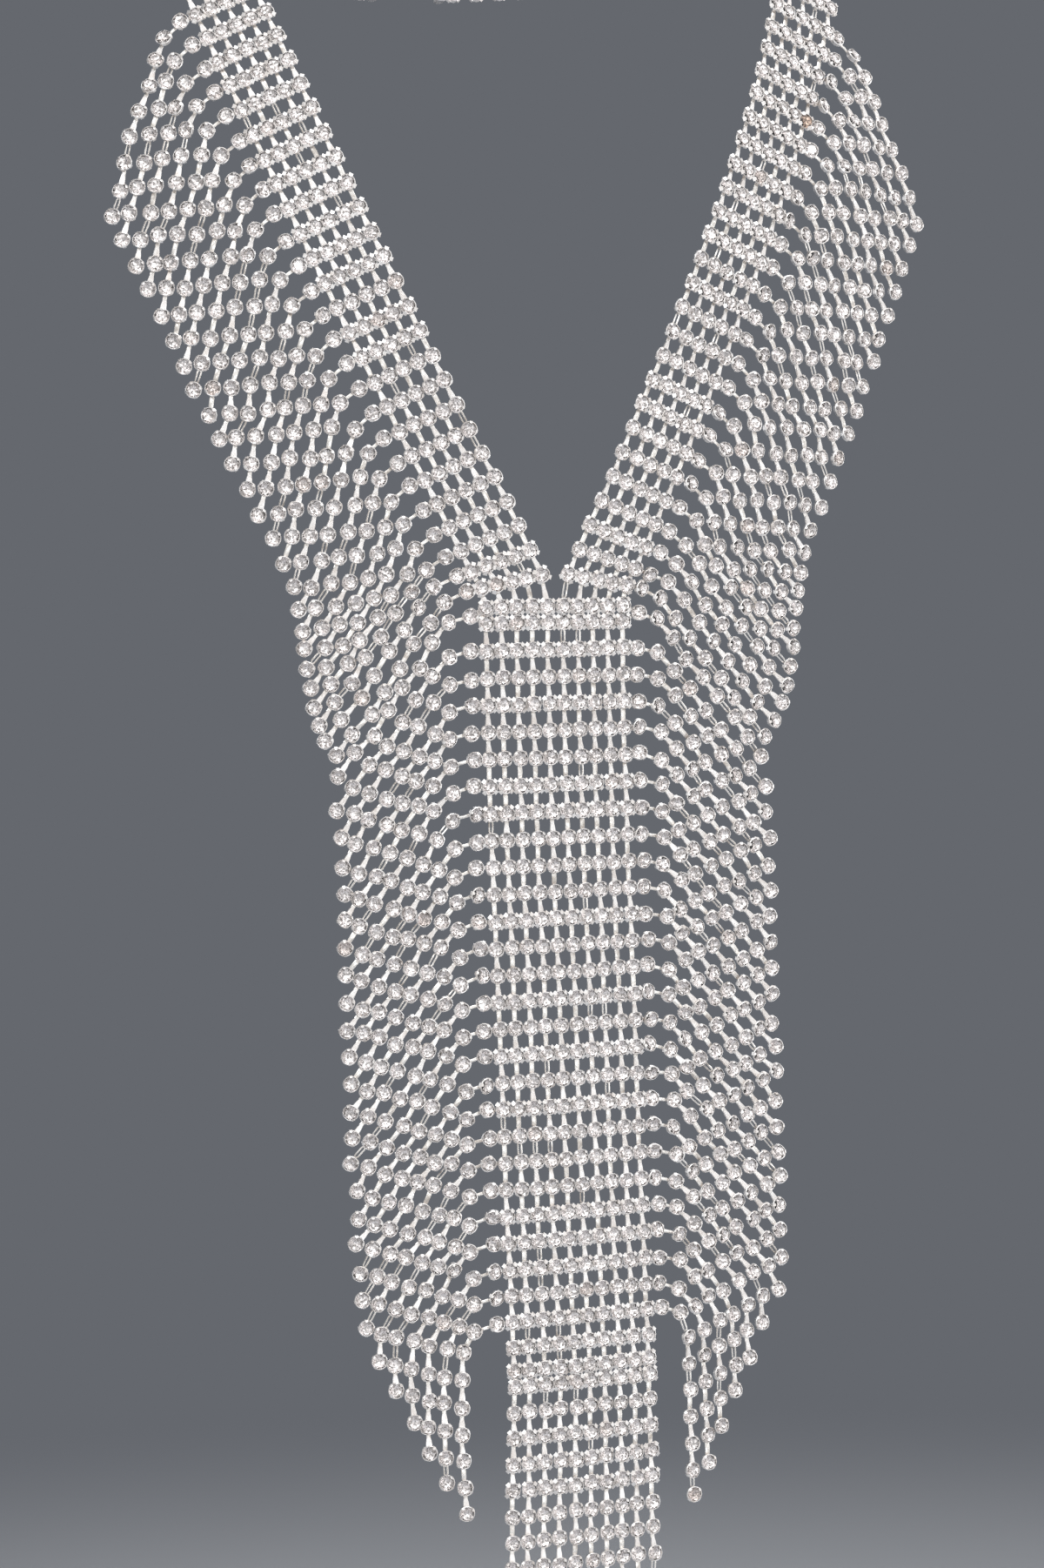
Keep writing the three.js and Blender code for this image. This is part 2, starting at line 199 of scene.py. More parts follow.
class Finish:
    """A material as it was made and worked: its own nodes feed one shader."""

    name: str

    def surface(self, node: AddNode) -> tuple[dict[str, Any], dict[str, Any]]:
        """Adds the finish's own nodes.

        Args:
            node: Adds a node to the material.

        Returns:
            The shader's settings and links.
        """
        raise NotImplementedError

    def material(self) -> bpy.types.Material:
        """The finish as a node material.

        Returns:
            The new material.
        """
        made = bpy.data.materials.new(self.name)
        made.use_nodes = True
        made.node_tree.nodes.clear()
        node = partial(add_node, made.node_tree)
        shader = node("BsdfPrincipled", *self.surface(node))
        node("OutputMaterial", links={"Surface": shader})
        return made


@dataclass(frozen=True)
class CloudedMetal(Finish):
    """Plated metal whose tone and gloss change in soft clouds, over a fine relief."""

    name: str
    bright: str
    worn: str
    cloud_mm: float
    wear_clouds: tuple[float, float]  # the clouds' values where it is worn and where it is bright
    gloss_clouds: tuple[float, float]
    roughness: tuple[float, float]  # where it is dull and where it is glossy
    relief_mm: float
    relief_depth_mm: float
    relief_strength: float

    def surface(self, node: AddNode) -> tuple[dict[str, Any], dict[str, Any]]:
        """Varies colour, roughness and bump over the metal.

        Args:
            node: Adds a node to the material.

        Returns:
            The shader's settings and links.
        """
        place = {"Vector": node("TexCoord").outputs["Object"]}
        size = {"Scale": 1 / (self.cloud_mm * MM), "Detail": 3.0, "Roughness": 0.6}
        clouds = node("TexNoise", size, place)
        low, high = self.wear_clouds
        wear = node("MapRange", {"From Min": low, "From Max": high}, {"Value": clouds})
        tones = {"data_type": "RGBA", 6: linear(self.worn), 7: linear(self.bright)}
        low, high = self.gloss_clouds
        dull, glossy = self.roughness
        ranges = {"From Min": low, "From Max": high, "To Min": dull, "To Max": glossy}
        relief = node("TexNoise", {"Scale": 1 / (self.relief_mm * MM), "Detail": 2.0}, place)
        depth = {"Strength": self.relief_strength, "Distance": self.relief_depth_mm * MM}
        return {"Metallic": 1.0}, {
            "Base Color": node("Mix", tones, {0: wear}),
            "Roughness": node("MapRange", ranges, {"Value": clouds}),
            "Normal": node("Bump", depth, {"Height": relief}),
        }


@dataclass(frozen=True)
class SilverPlate(CloudedMetal):
    """Bright silver plating over stamped brass, barrel polished: almost white, softly shining.

    The barrel leaves fine random scratches, which spread each highlight to a satin sheen, and thin
    plating lets a trace of warm brass through in places.
    """

    name: str = "silver_plated_brass_barrel_polished"
    bright: str = "#F6F4F3"
    worn: str = "#D8D1CC"
    cloud_mm: float = 3.0
    wear_clouds: tuple[float, float] = (0.28, 0.62)
    gloss_clouds: tuple[float, float] = (0.3, 0.7)
    roughness: tuple[float, float] = (0.46, 0.28)
    relief_mm: float = 0.12
    relief_depth_mm: float = 0.02
    relief_strength: float = 0.25


@dataclass(frozen=True)
class StampedStrip(CloudedMetal):
    """Silver-dipped brass strip as stamped: satin, uneven and greyer than the plated cups.

    The tone changes from link to link, and small dents break up the highlight along each link.
    """

    name: str = "silver_dipped_stamped_brass_strip"
    bright: str = "#F7F4F0"
    worn: str = "#C4BDB6"
    cloud_mm: float = 2.6
    wear_clouds: tuple[float, float] = (0.32, 0.52)
    gloss_clouds: tuple[float, float] = (0.32, 0.52)
    roughness: tuple[float, float] = (0.45, 0.25)
    relief_mm: float = 0.55
    relief_depth_mm: float = 0.05
    relief_strength: float = 0.6


@dataclass(frozen=True)
class CutCrystal(Finish):
    """Machine-cut lead-free crystal glass: water clear, with sharp bright facets.

    The stones of one batch differ a little in tint, and a few have yellowed with age, so each
    stone carries its own tone.
    """

    name: str = "cut_crystal_glass"
    clear: str = "#FEFCFC"
    aged: str = "#C6AF9F"
    ior: float = 1.56
    tone_attribute: str = "stone_tone"

    def surface(self, node: AddNode) -> tuple[dict[str, Any], dict[str, Any]]:
        """Tints clear glass stone by stone.

        Args:
            node: Adds a node to the material.

        Returns:
            The shader's settings and links.
        """
        tone = node("Attribute", {"attribute_name": self.tone_attribute}).outputs["Fac"]
        tints = {"data_type": "RGBA", 6: linear(self.clear), 7: linear(self.aged)}
        glass = {"Roughness": 0.0, "IOR": self.ior, "Transmission Weight": 1.0}
        return glass, {"Base Color": node("Mix", tints, {0: tone})}


@dataclass(frozen=True)
class MirrorFoil(Finish):
    """Silver mirror coat on a stone's back facets: it throws the light back through the glass.

    Here and there the coat is thin, which the eye sees as a small darker fleck in the stone.
    """

    name: str = "silver_foil_stone_back"
    bright: str = "#FDFAFA"
    thin: str = "#B2AEAA"
    fleck_mm: float = 0.36
    fleck_clouds: tuple[float, float] = (0.36, 0.56)
    thin_roughness: float = 0.05

    def surface(self, node: AddNode) -> tuple[dict[str, Any], dict[str, Any]]:
        """Makes mirror foil with thin flecks.

        Args:
            node: Adds a node to the material.

        Returns:
            The shader's settings and links.
        """
        place = {"Vector": node("TexCoord").outputs["Object"]}
        flecks = node("TexNoise", {"Scale": 1 / (self.fleck_mm * MM), "Detail": 2.0}, place)
        low, high = self.fleck_clouds
        cover = node("MapRange", {"From Min": low, "From Max": high}, {"Value": flecks})
        tones = {"data_type": "RGBA", 6: linear(self.thin), 7: linear(self.bright)}
        gloss = {"To Min": self.thin_roughness, "To Max": 0.0}
        return {"Metallic": 1.0}, {
            "Base Color": node("Mix", tones, {0: cover}),
            "Roughness": node("MapRange", gloss, {"Value": cover}),
        }


@dataclass(frozen=True)
class PaperFloor(Finish):
    """Matt pale studio paper: no gloss, faintly cloudy, and it fades into the air far away."""

    name: str = "matt_grey_studio_paper"
    light: str = "#CBCDD0"
    dark: str = "#C3C5C9"
    roughness: float = 0.9
    cloud_mm: float = 400.0
    fade_from_mm: float = 600.0
    fade_to_mm: float = 2000.0

    def surface(self, node: AddNode) -> tuple[dict[str, Any], dict[str, Any]]:
        """Makes a matt surface that is clear at its far edge.

        Args:
            node: Adds a node to the material.

        Returns:
            The shader's settings and links.
        """
        place = node("TexCoord").outputs["Object"]
        size = {"Scale": 1 / (self.cloud_mm * MM), "Detail": 2.0}
        clouds = node("TexNoise", size, {"Vector": place})
        tones = {"data_type": "RGBA", 6: linear(self.dark), 7: linear(self.light)}
        fade = {
            "interpolation_type": "SMOOTHSTEP",
            "From Min": self.fade_from_mm * MM,
            "From Max": self.fade_to_mm * MM,
            "To Min": 1.0,
            "To Max": 0.0,
        }
        away = node("VectorMath", {"operation": "LENGTH"}, {0: place})
        return {"Roughness": self.roughness}, {
            "Base Color": node("Mix", tones, {0: clouds}),
            "Alpha": node("MapRange", fade, {"Value": away}),
        }


class Finishes:
    """The materials, made once and shared by all pieces."""

    def __init__(self) -> None:
        """Makes each material."""
        self.silver = SilverPlate().material()
        self.strip = StampedStrip().material()
        self.crystal = CutCrystal().material()
        self.foil = MirrorFoil().material()
        self.paper = PaperFloor().material()


# ----------------------------------------------------------------------------------- joined meshes


@dataclass
class Template:
    """One small shape to be repeated: its points, its faces and its material's number."""

    points: np.ndarray
    faces: list[tuple[int, ...]]
    material: int = 0

    @staticmethod
    def swept(rings: Sequence[Any], closed: bool = False) -> "Template":
        """A skin over rings of points, with flat ends unless it closes on itself.

        Args:
            rings: Rings of the same number of points, in order along the shape.
            closed: Whether the last ring joins the first.

        Returns:
            The swept shape.
        """
        points = np.array(rings, dtype=float)
        count, around = points.shape[:2]
        faces: list[tuple[int, ...]] = []
        for i in range(count if closed else count - 1):
            here, there = i * around, (i + 1) % count * around
            for j in range(around):
                k = (j + 1) % around
                faces.append((here + j, here + k, there + k, there + j))
        if not closed:
            faces.append(tuple(reversed(range(around))))
            faces.append(tuple(range((count - 1) * around, count * around)))
        return Template(points.reshape(-1, 3), faces)

    def joined(self, other: "Template") -> "Template":
        """This shape and another as one.

        Args:
            other: Shape whose faces follow this one's.

        Returns:
            The two shapes side by side in one template.
        """
        shift = len(self.points)
        faces = self.faces + [tuple(i + shift for i in face) for face in other.faces]
        return Template(np.vstack([self.points, other.points]), faces, self.material)


class Batch:
    """Joins many placed copies of small shapes into one mesh."""

    def __init__(self) -> None:
        """Starts an empty batch."""
        # Of each shape: points, corners of faces, faces' sizes and materials, points' tones.
        self._parts: list[tuple[np.ndarray, ...]] = []
        self._count = 0

    def add(
        self,
        shape: Template,
        turns: Sequence[np.ndarray] = (np.eye(3),),
        places: Sequence[np.ndarray] = (np.zeros(3),),
        tones: Sequence[float] | None = None,
    ) -> None:
        """Adds a copy of a shape at each place, or the shape as it is.

        Args:
            shape: The shape, in its own axes.
            turns: One matrix for each copy, whose columns are the shape's axes in the necklace.
            places: The copies' origins.
            tones: One value for each copy, kept on its points.
        """
        copies, size = len(places), len(shape.points)
        if not copies:
            return
        points = np.einsum("nij,kj->nki", np.array(turns), shape.points)
        points += np.array(places)[:, None, :]
        starts = self._count + size * np.arange(copies)
        corners = np.concatenate([np.array(face) for face in shape.faces])
        corners = (corners[None, :] + starts[:, None]).ravel()
        sizes = np.tile([len(face) for face in shape.faces], copies)
        each_tone = np.repeat(np.zeros(copies) if tones is None else tones, size)
        numbers = np.full(len(sizes), shape.material)
        self._parts.append((points.reshape(-1, 3), corners, sizes, numbers, each_tone))
        self._count += copies * size

    def build(
        self,
        name: str,
        materials: Sequence[bpy.types.Material],
        crease_degrees: float | None = None,
        tone_name: str | None = None,
    ) -> bpy.types.Object:
        """Writes the batch as one object.

        Args:
            name: Name of the object and its mesh.
            materials: Materials by the shapes' material numbers.
            crease_degrees: Edges sharper than this stay sharp and the rest are smooth. With None
                every face is flat.
            tone_name: Name of the point attribute that holds the tones.

        Returns:
            The object, linked to the scene.
        """
        points, corners, sizes, numbers, tones = map(np.concatenate, zip(*self._parts))
        starts = np.cumsum(sizes) - sizes
        mesh = bpy.data.meshes.new(name)
        mesh.vertices.add(len(points))
        mesh.vertices.foreach_set("co", (points * MM).astype(np.float32).ravel())
        mesh.loops.add(len(corners))
        mesh.loops.foreach_set("vertex_index", corners.astype(np.int32))
        mesh.polygons.add(len(sizes))
        mesh.polygons.foreach_set("loop_start", starts.astype(np.int32))
        mesh.polygons.foreach_set("material_index", numbers.astype(np.int32))
        mesh.update(calc_edges=True)
        mesh.validate()
        for material in materials:
            mesh.materials.append(material)
        if tone_name:
            kept = mesh.attributes.new(tone_name, "FLOAT", "POINT")
            kept.data.foreach_set("value", tones.astype(np.float32))
        if crease_degrees is None:
            mesh.shade_flat()
        else:
            mesh.shade_smooth()
            mesh.set_sharp_from_angle(angle=math.radians(crease_degrees))
        made = bpy.data.objects.new(name, mesh)
        bpy.context.scene.collection.objects.link(made)
        return made


# ------------------------------------------------------------------------- stones, cups and links


@dataclass(frozen=True)
class Stone:
    """A round foiled rhinestone of the size that jewellers call SS16.

    Its back is cut in shallow tiers, so each back facet throws one patch of the room straight out
    through the table: that is what makes small crisp bright and dark facets. Each ring of corners
    is given by its radius and its height over the cup's middle layer.
    """

    table: tuple[float, float] = (1.2, 0.78)
    breaks: tuple[float, float] = (1.66, 0.6)
    girdle: tuple[float, float] = (2.02, 0.3)
    lower: tuple[float, float] = (1.34, 0.06)
    culet: tuple[float, float] = (0.7, -0.1)
    point: tuple[float, float] = (0.0, -0.22)
    mains: int = 8

    def _faceted(self, rings: Sequence[np.ndarray], facets: Sequence[Any]) -> Template:
        """Repeats the facets of one main facet round the stone.

        Args:
            rings: Rings of corners, with one or two corners on each for every main facet.
            facets: Each facet's corners, by the number of the ring and the steps along it from the
                main facet's own corner.

        Returns:
            The faceted shape.
        """
        faces = []
        for main, facet in product(range(self.mains), facets):
            face = []
            for ring, step in facet:
                corners = len(rings[ring])
                corner = (main * corners // self.mains + step) % corners
                face.append(sum(map(len, rings[:ring])) + corner)
            faces.append(tuple(face))
        return Template(np.vstack(rings), faces)

    def crown(self) -> Template:
        """The cut top: table, star facets, kite facets, and a pair of girdle facets for a kite.

        Returns:
            The crown, open below.
        """
        rings = [
            circle(self.mains, *self.table, math.pi / self.mains),
            circle(self.mains, *self.breaks),
            circle(2 * self.mains, *self.girdle),
        ]
        # Rings 0, 1 and 2 are the table, the breaks between kites, and the girdle.
        star = ((0, -1), (1, 0), (0, 0))
        kite = ((0, 0), (1, 0), (2, 1)), ((0, 0), (2, 1), (1, 1))
        pair = ((1, 0), (2, 0), (2, 1)), ((1, 0), (2, -1), (2, 0))
        made = self._faceted(rings, [star, *kite, *pair])
        return replace(made, faces=[tuple(range(self.mains)), *made.faces])

    def back(self) -> Template:
        """The foiled back: three tiers of facets down to a blunt point.

        Returns:
            The back, open above.
        """
        rings = [
            circle(2 * self.mains, *self.girdle),
            circle(self.mains, *self.lower, math.pi / self.mains),
            circle(self.mains, *self.culet),
            circle(1, *self.point),
        ]
        # Rings 0 to 3 are the girdle, the lower edge, the culet's edge and the point.
        edge = ((0, 0), (1, 0), (0, 1)), ((0, 0), (1, -1), (1, 0)), ((0, -1), (1, -1), (0, 0))
        tier = ((1, -1), (2, 0), (1, 0)), ((1, 0), (2, 0), (2, 1))
        tip = ((2, 0), (3, 0), (2, 1))
        return replace(self._faceted(rings, [*edge, *tier, tip]), material=1)


@dataclass(frozen=True)
class Cup:
    """A stamped brass cup with four prongs, bent over the stone between the chain's links."""

    base: tuple[float, float] = (1.5, -1.1)
    shoulder: tuple[float, float] = (1.8, -0.95)
    rim_radius: float = 2.2
    rim_height: float = 0.45
    wall: float = 0.27
    sides: int = 16
    prong_width: float = 0.85
    prong_tip_width: float = 0.55
    prong_thickness: float = 0.24
    prong_reach: float = 2.26

    def wall_shape(self) -> Template:
        """The cup's wall, its rim bent in over the stone's edge, and its floor below the stone.

        Returns:
            The wall's closed shape.
        """
        rim, top, wall = self.rim_radius, self.rim_height, self.wall
        # Radius and height of each ring, from the base up, over the rim and down inside.
        profile = [
            self.base,
            self.shoulder,
            (rim, top - 0.15),
            (rim - 0.1, top),
            (rim - wall + 0.1, top + 0.06),
            (rim - wall, top + 0.01),
            (rim - wall * 0.5, top - 0.19),
            (rim - wall, top - 1.0),
        ]
        return Template.swept([circle(self.sides, *ring) for ring in profile])

    def prong(self, degrees: float) -> Template:
        """One prong, bent from the wall over the edge of the stone.

        Args:
            degrees: Where the prong stands round the cup, from the across direction.

        Returns:
            The prong's closed shape.
        """
        half, tip = self.prong_width / 2, self.prong_tip_width / 2
        rim, thick, reach = self.rim_radius, self.prong_thickness, self.prong_reach
        # Radius and height of the prong's outer face, its inner face and its half width.
        stations = [
            ((rim, -0.45), (rim - thick, -0.45), half),
            ((reach, 0.38), (reach - thick, 0.34), half),
            ((1.98, 0.7), (1.9, 0.48), half * 0.92),
            ((1.62, 0.86), (1.6, 0.64), tip),
        ]
        shape = Template.swept(
            [
                [(x0, -width, z0), (x0, width, z0), (x1, width, z1), (x1, -width, z1)]
                for (x0, z0), (x1, z1), width in stations
            ]
        )
        return replace(shape, points=shape.points @ turned(math.radians(degrees)).T)

    def shape(self) -> Template:
        """The whole cup.

        Returns:
            The wall and its four prongs.
        """
        made = self.wall_shape()
        for degrees in (45, 135, 225, 315):
            made = made.joined(self.prong(degrees))
        return made


PLAIN_CUP = Cup()
# In some rows of the bands the prongs are broader, so they meet in the corners between the cups.
BROAD_CUP = Cup(prong_width=1.15, prong_tip_width=0.72, prong_thickness=0.4, prong_reach=2.6)


@dataclass(frozen=True)
class LinkStrip:
    """The stamped strip that joins two cups; its shape runs from 0 to 1 along the chain."""

    hold: float = 0.45  # how far the strip reaches in under each cup's rim
    level: float = -0.72
    arch: float = 0.28
    thickness: float = 0.36
    tongue_thickness: float = 0.3
    wire: float = 0.23
    loop_width: float = 1.4
    strap_widths: tuple[tuple[LinkStyle, float], ...] = (
        (LinkStyle.STRAP, 1.25),
        (LinkStyle.TONGUE, 1.1),
        (LinkStyle.THIN, 0.85),
    )

    def height(self, along: float) -> float:
        """How high the strip's middle layer stands at a share of its run."""
        return self.level + self.arch * math.sin(math.pi * along)

    def strap(self, style: LinkStyle) -> Template:
        """A closed strap, a little waisted at its ends and crowned between two bevels.

        Args:
            style: Picks the strap's width.

        Returns:
            The strap's shape.
        """
        half, thick = dict(self.strap_widths)[style] / 2, self.thickness / 2
        rings = []
        # Places along the strap, and its width there as a share of the full width.
        for along, share in ((0.0, 0.72), (0.16, 1.0), (0.5, 1.0), (0.84, 1.0), (1.0, 0.72)):
            width, crown, middle = half * share, half * share * 0.62, self.height(along)
            low, bevel, high = middle - thick, middle + thick * 0.3, middle + thick
            outline = [(-width, low), (width, low), (width, bevel)]
            outline += [(crown, high), (-crown, high), (-width, bevel)]
            rings.append([(x, along, z) for x, z in outline])
        return Template.swept(rings)

    def tongue(self) -> Template:
        """The plated tongue that a cup folds up over the strip, with a rounded end.

        Returns:
            The tongue's shape.
        """
        # Places along the run, with the tongue's half width and its upper face's height there.
        stations = ((0.0, 0.86, 0.12), (0.36, 0.74, -0.06), (0.62, 0.56, -0.2), (0.76, 0.26, -0.3))
        rings = []
        for along, half, high in stations:
            low, crown = high - self.tongue_thickness, half * 0.8
            outline = [(-half, low), (half, low), (crown, high), (-crown, high)]
            rings.append([(x, along, z) for x, z in outline])
        return Template.swept(rings)

    def loop(self) -> Template:
        """An open link: one wire bent into a long eye.

        Returns:
            The link's shape.
        """
        # Corners of the eye: across, from -1 to 1, and along the run.
        eye = [(-1.0, 0.2), (-1.0, 0.8), (-0.6, 0.95), (0.6, 0.95)]
        eye += [(1.0, 0.8), (1.0, 0.2), (0.6, 0.05), (-0.6, 0.05)]
        up = np.array([0.0, 0.0, self.wire])
        rings = []
        for side, along in eye:
            out = unit(np.array([side, (along - 0.5) * 0.5, 0.0])) * self.wire
            out[1] *= 0.25
            across = side * (self.loop_width / 2 - self.wire)
            middle = np.array([across, along, self.height(along)])
            rings.append([middle + out, middle + up, middle - out, middle - up])
        return Template.swept(rings, closed=True)

    def shape(self, style: LinkStyle) -> Template:
        """The link's shape in a style."""
        return self.loop() if style is LinkStyle.LOOP else self.strap(style)


@dataclass(frozen=True)
class LinkMix:
    """Shares of plain straps and of straps with a tongue over them; the rest are open loops."""

    straps: float
    tongues: float

    def pick(self, chance: Chance) -> LinkStyle:
        """Picks a link's style.

        Args:
            chance: Source of the choice.

        Returns:
            The style.
        """
        value = chance.random()
        if value < self.straps:
            return LinkStyle.STRAP
        return LinkStyle.TONGUE if value < self.straps + self.tongues else LinkStyle.LOOP


BAND_LINKS = LinkMix(0.35, 0.57)
FRINGE_LINKS = LinkMix(0.22, 0.54)


@dataclass(frozen=True)
class SolderBead:
    """The small bead of solder low between two cups that touch."""

    radius: float = 0.62
    flatness: float = 0.75
    level: float = -0.62
    sides: int = 6

    def shape(self) -> Template:
        """A low-sided bead with its centre at the origin.

        Returns:
            The bead's shape.
        """
        rise = self.radius * self.flatness
        return Template.swept(
            [
                circle(self.sides, self.radius * share, self.level + rise * height)
                for height, share in ((-0.8, 0.5), (0.1, 1.0), (0.85, 0.4))
            ]
        )


@dataclass
class Seat:
    """Where a cup sits: its centre, the way it faces, the way its chain runs, the stone's tone."""

    centre: np.ndarray
    normal: np.ndarray
    along: np.ndarray
    tone: float = 0.0
    cup: Cup = PLAIN_CUP

    def axes(self) -> np.ndarray:
        """The cup's across, along and outward axes as the columns of a matrix.

        Returns:
            A 3 by 3 matrix.
        """
        normal = unit(self.normal)
        along = unit(self.along - normal * np.dot(self.along, normal))
        return np.column_stack([np.cross(along, normal), along, normal])


@dataclass(frozen=True)
class Slack:
    """How loosely cups hang: their tilt in degrees and their shift in and along the surface."""

    tilt_degrees: float
    lift: float
    shift: float

    def disturb(self, seat: Seat, chance: Chance) -> Seat:
        """A seat moved and tilted by chance.

        Args:
            seat: The even seat.
            chance: Source of the irregularity.

        Returns:
            The seat as it hangs.
        """
        across, along, normal = seat.axes().T
        tilt = math.radians(self.tilt_degrees)
        lean = chance.normal(0, tilt / 2, 2).clip(-tilt, tilt)
        move = chance.uniform(-1, 1, 3) * [self.shift, self.shift, self.lift]
        return replace(
            seat,
            centre=seat.centre + across * move[0] + along * move[1] + normal * move[2],
            normal=unit(normal + across * lean[0] + along * lean[1]),
            along=unit(along + across * chance.normal(0, tilt / 2)),
        )


@dataclass(frozen=True)
class StoneSorting:
    """How evenly the stones were sorted by tint, and how many have yellowed since."""

    spread: float = 0.05
    yellowed_share: float = 0.025
    yellowed: tuple[float, float] = (0.15, 0.4)

    def sort(self, seats: Sequence[Seat], chance: Chance) -> None:
        """Gives each seat its stone's tone.

        Args:
            seats: The seats of all stones.
            chance: Source of the differences.
        """
        for seat in seats:
            aged = chance.random() < self.yellowed_share
            low, high = self.yellowed if aged else (0.0, self.spread)
            seat.tone = float(chance.uniform(low, high))


@dataclass
class ChainWork:
    """The seats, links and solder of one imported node, made as a metal piece and a stone piece."""

    node: str
    seats: list[Seat] = field(default_factory=list)
    links: list[tuple[Seat, Seat, LinkStyle]] = field(default_factory=list)
    solder: list[tuple[Seat, Seat]] = field(default_factory=list)
    crease_degrees: float = 38.0

    def add(self, seat: Seat, *beside: Seat | None) -> None:
        """Adds a cup and solders it to those beside it.

        Args:
            seat: The cup's seat.
            beside: Seats of the cups that it touches; None stands for no cup.
        """
        self.seats.append(seat)
        self.solder += [(other, seat) for other in beside if other]

    def _metal(self, finishes: Finishes) -> bpy.types.Object:
        """Makes cups, links and solder as one joined mesh.

        Args:
            finishes: The shared materials.

        Returns:
            The metal piece.
        """
        batch, strip = Batch(), LinkStrip()
        for cup in (PLAIN_CUP, BROAD_CUP):
            seats = [seat for seat in self.seats if seat.cup is cup]
            batch.add(cup.shape(), [s.axes() for s in seats], [s.centre for s in seats])
        reach = PLAIN_CUP.rim_radius - strip.hold
        for style in LinkStyle:
            turns, places = [], []
            for start, end in [pair for *pair, its_style in self.links if its_style is style]:
                way = end.centre - start.centre
                length = float(np.linalg.norm(way))
                along, normal = way / length, unit(start.normal + end.normal)
                normal = unit(normal - along * np.dot(normal, along))
                run = along * (length - 2 * reach)
                turns.append(np.column_stack([np.cross(along, normal), run, normal]))
                places.append(start.centre + along * reach)
            batch.add(replace(strip.shape(style), material=1), turns, places)
            if style is LinkStyle.TONGUE:
                batch.add(strip.tongue(), turns, places)
        middles = [(a.centre + b.centre) / 2 for a, b in self.solder]
        batch.add(SolderBead().shape(), [a.axes() for a, _ in self.solder], middles)
        metals = [finishes.silver, finishes.strip]
        return batch.build(f"{self.node}_cups_and_links", metals, self.crease_degrees)

    def _stones(self, finishes: Finishes, chance: Chance) -> bpy.types.Object:
        """Makes the stones as one joined mesh, each turned by chance in its cup.

        Args:
            finishes: The shared materials.
            chance: Source of the turns.

        Returns:
            The piece of stones.
        """
        batch, stone = Batch(), Stone()
        turns = [seat.axes() @ turned(chance.uniform(0, 2 * math.pi)) for seat in self.seats]
        places, tones = [s.centre for s in self.seats], [s.tone for s in self.seats]
        for shape in (stone.crown(), stone.back()):
            batch.add(shape, turns, places, tones)
        tone_name = CutCrystal().tone_attribute
        glass = [finishes.crystal, finishes.foil]
        return batch.build(f"{self.node}_stones", glass, tone_name=tone_name)

    def make(self, finishes: Finishes, chance: Chance) -> None:
        """Makes both pieces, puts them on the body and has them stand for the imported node.

        Args:
            finishes: The shared materials.
            chance: Source of the stones' turns.
        """
        metal = self._metal(finishes)
        stones = self._stones(finishes, chance)
        for piece, slot in ((metal, "silver_plate"), (stones, "crystal")):
            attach(piece, "root")
            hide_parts(self.node)
        LOG.info("%s: %d stones, %d links", self.node, len(self.seats), len(self.links))


# -------------------------------------------------------------- the form that the necklace lies on


@dataclass(frozen=True)
class ChestForm:
    """The smooth form of the chest, from the nape's frame.

    Its depth grows with the square of the distance across. Up and down from the chest line it
    grows by the factors of the distance's first, second and third powers.
    """

    nape_back: float = 134.0
    nape_up: float = 160.0
    roundness: float = 0.0016
    upper_chest: tuple[float, float, float] = (0.0518, -0.0014, 1.25e-5)
    below_bust: tuple[float, float] = (0.0714, -0.0001865)

    def depth(self, x: float, level: float) -> float:
        """How far back the chest lies at a place across and at a level from the chest line.

        Args:
            x: How far across.
            level: How far above the chest line.

        Returns:
            The depth.
        """
        depth = self.roundness * x * x
        for way, factors in ((level, self.upper_chest), (-level, self.below_bust)):
            distance = max(way, 0.0)
            depth += sum(factor * distance**power for power, factor in enumerate(factors, 1))
        return depth

    def point(self, place: Place) -> np.ndarray:
        """The point of a place on the chest."""
        x, level = place
        return np.array([x, self.depth(x, level) - self.nape_back, level - self.nape_up])

    def normal(self, place: Place) -> np.ndarray:
        """The way that the chest faces at a place.

        Args:
            place: The place.

        Returns:
            A vector of length one.
        """
        x, level = place
        step = 0.5
        across = self.point((x + step, level)) - self.point((x - step, level))
        up = self.point((x, level + step)) - self.point((x, level - step))
        return unit(np.cross(across, up))

    def walk(self, start: Place, degrees_down: float, length: float) -> Place:
        """Goes a true length over the chest.

        Args:
            start: Where the walk starts.
            degrees_down: Direction, below the horizontal and towards +X.
            length: The true length.

        Returns:
            The place that it comes to.
        """
        x, level = start
        across = math.cos(math.radians(degrees_down))
        up = -math.sin(math.radians(degrees_down))
        depth, run = self.depth(x, level), length
        for _ in range(5):
            deeper = self.depth(x + across * run, level + up * run) - depth
            run *= length / math.hypot(across * run, up * run, deeper)
        return x + across * run, level + up * run


# ------------------------------------------------------------- the arms of the V, and the neck's


